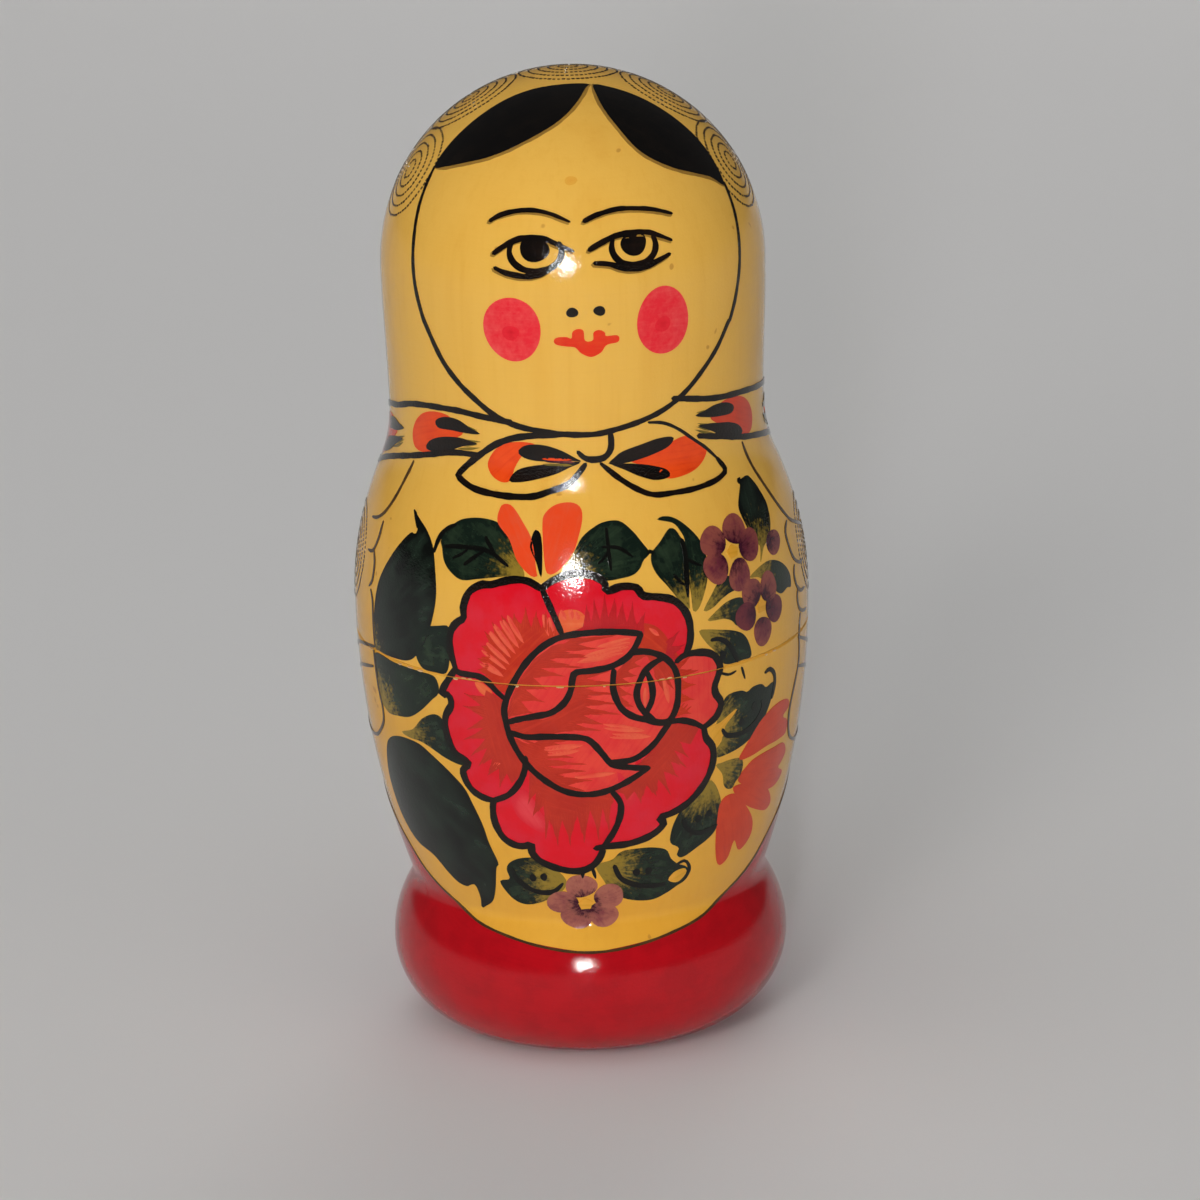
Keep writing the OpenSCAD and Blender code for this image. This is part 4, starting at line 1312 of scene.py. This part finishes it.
def face(p):
    oval = np.concatenate([on_crown(OVAL_LEFT), on_side(OVAL_CHIN), on_crown(OVAL_RIGHT)])
    p.stroke(oval, "line_black", OVAL_WIDTHS, coat=3.4, ends=(0.8, 0.8))
    for lobe in HAIR:
        p.stroke(on_crown(lobe)[:HAIR_EDGE], "line_smear", width=1.1, coat=1.2, ends=(0.6, 0.6))
        p.fill(on_crown(lobe), "hair_black", coat=2.0, at_crown=True)
    for spot, size in CHEEKS:
        p.dab(on_side(spot)[0], size, "rouge", coat=1, corners=44, wobble=0.35)
        p.dab(on_side(drawn(spot) - CHEEK_CORE)[0], (1.5, 1.2), "rouge_core", coat=1.6, lean=0.3, corners=20)
    p.fill(on_side(MOUTH), "lip_red", coat=1.2, grid=1.2, edge_step=0.35)
    for spot in on_side(NOSTRILS):
        p.dab(spot, (0.95, 0.85), "line_black", coat=2)
    for line, width in BROWS + LIDS:
        smear = on_side(drawn(line) - SMEAR_OFF)
        p.stroke(smear, "line_smear", width, coat=1.6, ends=(0.8, 0.6), gap=FACE_GAP)
        p.stroke(on_side(line), "line_black", width, coat=2.6, ends=(0.75, 0.6), gap=FACE_GAP)
    for centre, half, pupil, size in EYES:
        ring = np.stack([centre[0] + half[0] * np.cos(EYE_BEND), centre[1] + half[1] * np.sin(EYE_BEND)], 1)
        p.stroke(on_side(ring), "line_black", width=1.1, coat=2.4, ends=(0.6, 0.6), gap=FACE_GAP)
        p.dab(on_side(pupil)[0], size, "line_black", coat=2.2, corners=26)
    p.dab(on_side(RESIN_SPOT)[0], (1.0, 0.8), "resin_amber", coat=0.5)


# Rosettes: in millimetres from the crown, in rows behind (first angle, step, number, t) and on the sleeves
ROSETTE = {"Rings": 5, "Dashes": 13, "Ring gap": 1.65, "Dash length": 0.52, "Dash width": 0.36, "Seed": 4}
ROSETTES_NEAR = "0 -2.5, 17 -0.5, -17 -0.5, 31.5 7, -31.5 7"
ROSETTES_BEHIND = [(152, 60, 2, 17.0), (111.7, 34.2, 5, 33.5), (129, 34.0, 4, 51.5)]
ROSETTES_SLEEVE = "-87 84, 88 83"
ROSETTE_CROWN = 20


def rosettes(p):
    """Dashed rosettes on the scarf and sleeves."""
    flat = grown("rosette", bpy.data.meshes.new("none"), rosette_tree(), ROSETTE)
    dashes = np.array([v.co[:2] for v in flat.vertices])
    faces = [list(f.vertices) for f in flat.polygons]
    fans = [[f[0], f[k], f[k + 1]] for f in faces for k in range(1, len(f) - 1)]
    bpy.data.meshes.remove(flat)
    stroke = np.concatenate([dashes, np.ones((len(dashes), 1))], 1)
    behind = []
    for first, step, count, t in ROSETTES_BEHIND:
        behind += [(math.radians(first + step * k), t) for k in range(count)]
    for angle, t in [*on_crown(ROSETTES_NEAR), *behind, *on_side(ROSETTES_SLEEVE)]:
        if t < ROSETTE_CROWN:
            polar = on_crown(crown_map(np.array([[angle, t]])) + dashes)
        else:
            down = t + dashes[:, 1]
            polar = np.stack([angle + dashes[:, 0] / np.maximum(r_at(down), 1.0), down], 1)
        p.film(polar, stroke, fans, "dot_grey", coat=1)


# Chips: number, corners, middle and spread in degrees of those in front, lengths and heights in millimetres
CHIPS, CHIP_CORNERS = 20, 9
CHIPS_MIDDLE, CHIPS_SPREAD = -12, 38
CHIP_LENGTHS, CHIP_HEIGHTS = (0.2, 0.7), (0.1, 0.22)


def joint_chips(p):
    """Small chips of bare wood along the joint, most of them in front."""
    for k in range(CHIPS):
        angle = RNG.normal(CHIPS_MIDDLE, CHIPS_SPREAD) if k % 3 else RNG.uniform(-180, 180)
        side = RNG.choice((-1, 1))
        size = (RNG.uniform(*CHIP_LENGTHS), RNG.uniform(*CHIP_HEIGHTS))
        spot = (math.radians(angle), SEAM_T + side * (SEAM_BARE + size[1] * 0.3))
        p.dab(spot, size, "chip_pale", coat=4, corners=CHIP_CORNERS)


def whole_painting():
    p = Painting()
    flowers = (skirt, leaves, small_flowers, rose, bow)
    for part in (*flowers, scarf, arms, rosettes, face, joint_chips, rose_fringe):
        part(p)
    return p


# Cutting the painting at the joint and laying it on the dolls
def flat_paint(p, name, low_t, high_t):
    """The part of the painting between two distances from the crown, as a flat mesh round the crown."""
    bm = bmesh.new()
    stroke = bm.verts.layers.float_vector.new("stroke")
    sheet = bm.verts.layers.float_vector.new("sheet")
    colour = bm.faces.layers.int.new("paint")
    verts = []
    for place, s, on_bake_sheet in zip(p.points, p.strokes, p.side_by_side(low_t, high_t)):
        v = bm.verts.new(place)
        v[stroke] = Vector(s)
        v[sheet] = (*on_bake_sheet, 0.0)
        verts.append(v)
    for corners, index in zip(p.faces, p.colours):
        if len(set(corners)) == 3:
            bm.faces.new([verts[i] for i in corners])[colour] = index
    for limit, outward in ((low_t, -1), (high_t, 1)):
        everything = bm.verts[:] + bm.edges[:] + bm.faces[:]
        bmesh.ops.bisect_plane(bm, geom=everything, dist=1e-6, plane_co=(0, limit, 0),
                               plane_no=(0, outward, 0), clear_outer=True)
    bmesh.ops.delete(bm, geom=[v for v in bm.verts if not v.link_faces], context="VERTS")
    bmesh.ops.triangulate(bm, faces=bm.faces[:])
    for v in bm.verts:
        a, t, lift = v.co
        v.co = (t * math.sin(a), t * math.cos(a), lift)
    return mesh_from(bm, name)


def mesh_from(bm, name):
    mesh = bpy.data.meshes.new(name)
    bm.to_mesh(mesh)
    bm.free()
    return mesh


def smooth_turned(mesh, angle):
    mesh.polygons.foreach_set("use_smooth", np.ones(len(mesh.polygons), bool))
    mesh.set_sharp_from_angle(angle=math.radians(angle))


def close_up(mesh):
    """Merges the seam of the turning and makes all faces point outwards."""
    bm = bmesh.new()
    bm.from_mesh(mesh)
    bmesh.ops.remove_doubles(bm, verts=bm.verts[:], dist=1e-7)
    bmesh.ops.recalc_face_normals(bm, faces=bm.faces[:])
    if bm.calc_volume(signed=True) < 0:
        bmesh.ops.reverse_faces(bm, faces=bm.faces[:])
    bm.to_mesh(mesh)
    bm.free()


def give_bake_map(mesh):
    """Turns each point's place on the sheet of films into the map that textures are baked through."""
    place = np.empty(len(mesh.vertices) * 3, np.float32)
    mesh.attributes["sheet"].data.foreach_get("vector", place)
    corner = np.empty(len(mesh.loops), np.int32)
    mesh.loops.foreach_get("vertex_index", corner)
    mesh.attributes.remove(mesh.attributes["sheet"])
    mesh.uv_layers.new(name="OFBake").uv.foreach_set("vector", place.reshape(-1, 3)[corner, :2].ravel())


# Edges sharper than these, in degrees, stay sharp. The paint's underside lies this deep, in millimetres
TURNED_SHARP, PAINTED_SHARP = 28, 40
PAINT_SUNK = 0.05
# Sides round the axis, from the largest doll to the smallest
SIDES = (200, 180, 160, 144, 128, 112, 96)


def turned_piece(node, section, tree, scale, base, sides):
    points = np.concatenate([part for part, coat in section])
    coats = np.concatenate([np.full(len(part), float(coat)) for part, coat in section])
    mesh = grown(node + "_turned", line_mesh(node + "_line", points, coats), tree, {
        "Sides": sides, "Scale": scale, "Base": base, "Lacquered": YELLOW, "Bare": BARE})
    close_up(mesh)
    smooth_turned(mesh, TURNED_SHARP)
    return shown(node + "_turned", mesh)


def painted_piece(node, flat, tree, outline, scale, base):
    mesh = grown(node + "_painting", flat.copy(), tree, {
        "Outline": outline, "Scale": scale, "Base": base, "Sunk": PAINT_SUNK})
    smooth_turned(mesh, PAINTED_SHARP)
    give_bake_map(mesh)
    return shown(node + "_painting", mesh)


def make_dolls():
    lathe, drape = turning_tree(), draping_tree()
    outline = shown("outline_guide", line_mesh("outline_guide", FROM_CROWN))
    p = whole_painting()
    over_crown, past_foot = -1.0, FOOT_EDGE_T + 1.0
    flats = {
        "top": flat_paint(p, "flat_top", over_crown, SEAM_T - SEAM_BARE),
        "bottom": flat_paint(p, "flat_bottom", SEAM_T + SEAM_BARE, past_foot),
        "": flat_paint(p, "flat_whole", over_crown, past_foot)}
    for n in range(1, 8):
        halves = ("bottom", "top") if n < 7 else ("",)
        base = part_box(f"doll_{n}_bottom" if n < 7 else "doll_7")[0].z
        low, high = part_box(f"doll_{n}_top" if n < 7 else "doll_7")
        scale = (high.x - low.x) / (2 * BODY_R * MM)
        sections = {"bottom": bottom_section(FIT_GAP / scale), "top": top_section(), "": solid_section()}
        for half in halves:
            node = f"doll_{n}_{half}".rstrip("_")
            wood = turned_piece(node, sections[half], lathe, scale, base, SIDES[n - 1])
            coat = painted_piece(node, flats[half], drape, outline, scale, base)
            for piece in (wood, coat):
                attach(piece, node)
            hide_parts(node)
    for mesh in flats.values():
        bpy.data.meshes.remove(mesh)
    bpy.data.objects.remove(outline)


make_dolls()

# Floor, light and camera. Places are in metres, angles in degrees, lens and sensor in millimetres
FLOOR_REACH, FLOOR_SIDES = 12.0, 96
FLOOR_LIGHT, FLOOR_DARK = (0.74, 0.732, 0.72), (0.70, 0.692, 0.68)
WHITE = (1.0, 1.0, 1.0, 1.0)
LIT_PLACE = Vector((0.0, 0.0, 0.085))
CAMERA_PLACE = (0.0, -0.980, 0.3787)
CAMERA_PITCH, CAMERA_YAW, CAMERA_ROLL = 17.34, 0.18, -1.47
CAMERA_LENS, CAMERA_SENSOR = 181.1, 36.0


def studio_floor():
    """A wide, plain, pale floor."""
    f = Finish("studio_floor")
    cloud = f.noise(f.object, 3.0)
    tone = f.mix(cloud * 0.5, FLOOR_LIGHT, FLOOR_DARK)
    bm = bmesh.new()
    bmesh.ops.create_circle(bm, cap_ends=True, segments=FLOOR_SIDES, radius=FLOOR_REACH)
    mesh = mesh_from(bm, "studio_floor")
    mesh.materials.append(f.surface(tone, 0.8, shine=0.1))
    shown("studio_floor", mesh)


def lit_from(name, data, place, in_reflections=False):
    """Adds a lamp that shines from a place at the middle of the doll."""
    light = bpy.data.objects.new(name, data)
    light.location = place
    light.rotation_euler = (LIT_PLACE - Vector(place)).to_track_quat("-Z", "Y").to_euler()
    light.visible_glossy = in_reflections
    bpy.context.scene.collection.objects.link(light)


def lamp(name, place, size, watts, beam=180, in_reflections=False):
    """A round lamp whose light fans out by an angle in degrees."""
    data = bpy.data.lights.new(name, "AREA")
    data.shape = "DISK"
    data.size = size
    data.energy = watts
    data.spread = math.radians(beam)
    lit_from(name, data, place, in_reflections)


def ceiling_light(place, strength, spread):
    """Even light from above, which reaches the whole floor."""
    data = bpy.data.lights.new("ceiling", "SUN")
    data.energy = strength
    data.angle = math.radians(spread)
    lit_from("ceiling", data, place)


def pale_world(light, seen, reflected):
    """Lights the doll a little, looks as pale as the far floor and is darker in reflections."""
    world = bpy.data.worlds.new("studio")
    bpy.context.scene.world = world
    world.use_nodes = True
    sky = Graph(world.node_tree)
    ray = sky.add("ShaderNodeLightPath", None, "Is Camera Ray")
    looked_at = ray.to("MAXIMUM", ray.other("Is Transmission Ray"))
    mirrored = ray.other("Is Glossy Ray") * (reflected - light)
    strength = light + looked_at * (seen - light) + mirrored
    glow = sky.add("ShaderNodeBackground", {"Color": WHITE, "Strength": strength})
    sky.add("ShaderNodeOutputWorld", {"Surface": glow})


def camera_like_photo():
    pitch, yaw, roll = (math.radians(angle) for angle in (CAMERA_PITCH, CAMERA_YAW, CAMERA_ROLL))
    right = np.array([math.cos(yaw), -math.sin(yaw), 0.0])
    ahead = np.array([math.cos(pitch) * math.sin(yaw), math.cos(pitch) * math.cos(yaw), -math.sin(pitch)])
    up = np.array([math.sin(pitch) * math.sin(yaw), math.sin(pitch) * math.cos(yaw), math.cos(pitch)])
    x = math.cos(roll) * right + math.sin(roll) * up
    y = math.cos(roll) * up - math.sin(roll) * right
    data = bpy.data.cameras.new("camera")
    data.sensor_width = CAMERA_SENSOR
    data.lens = CAMERA_LENS
    camera = bpy.data.objects.new("camera", data)
    turn = Matrix([[x[i], y[i], -ahead[i]] for i in range(3)]).to_4x4()
    camera.matrix_world = Matrix.Translation(CAMERA_PLACE) @ turn
    bpy.context.scene.collection.objects.link(camera)
    bpy.context.scene.camera = camera


studio_floor()
lamp("key", (-0.7, -2.0, 1.2), size=0.7, watts=13.0)
lamp("by_camera", (-0.30, -4.0, 0.81), size=0.34, watts=5.1, beam=50, in_reflections=True)
lamp("fill", (1.6, -1.4, 0.95), size=1.7, watts=2.5)
lamp("behind", (0.35, 2.2, 1.15), size=1.7, watts=15.0)
ceiling_light((-0.3, -0.35, 1.2), strength=0.7, spread=70)
pale_world(light=0.10, seen=0.27, reflected=0.08)
camera_like_photo()
bpy.context.scene.view_settings.view_transform = "Standard"
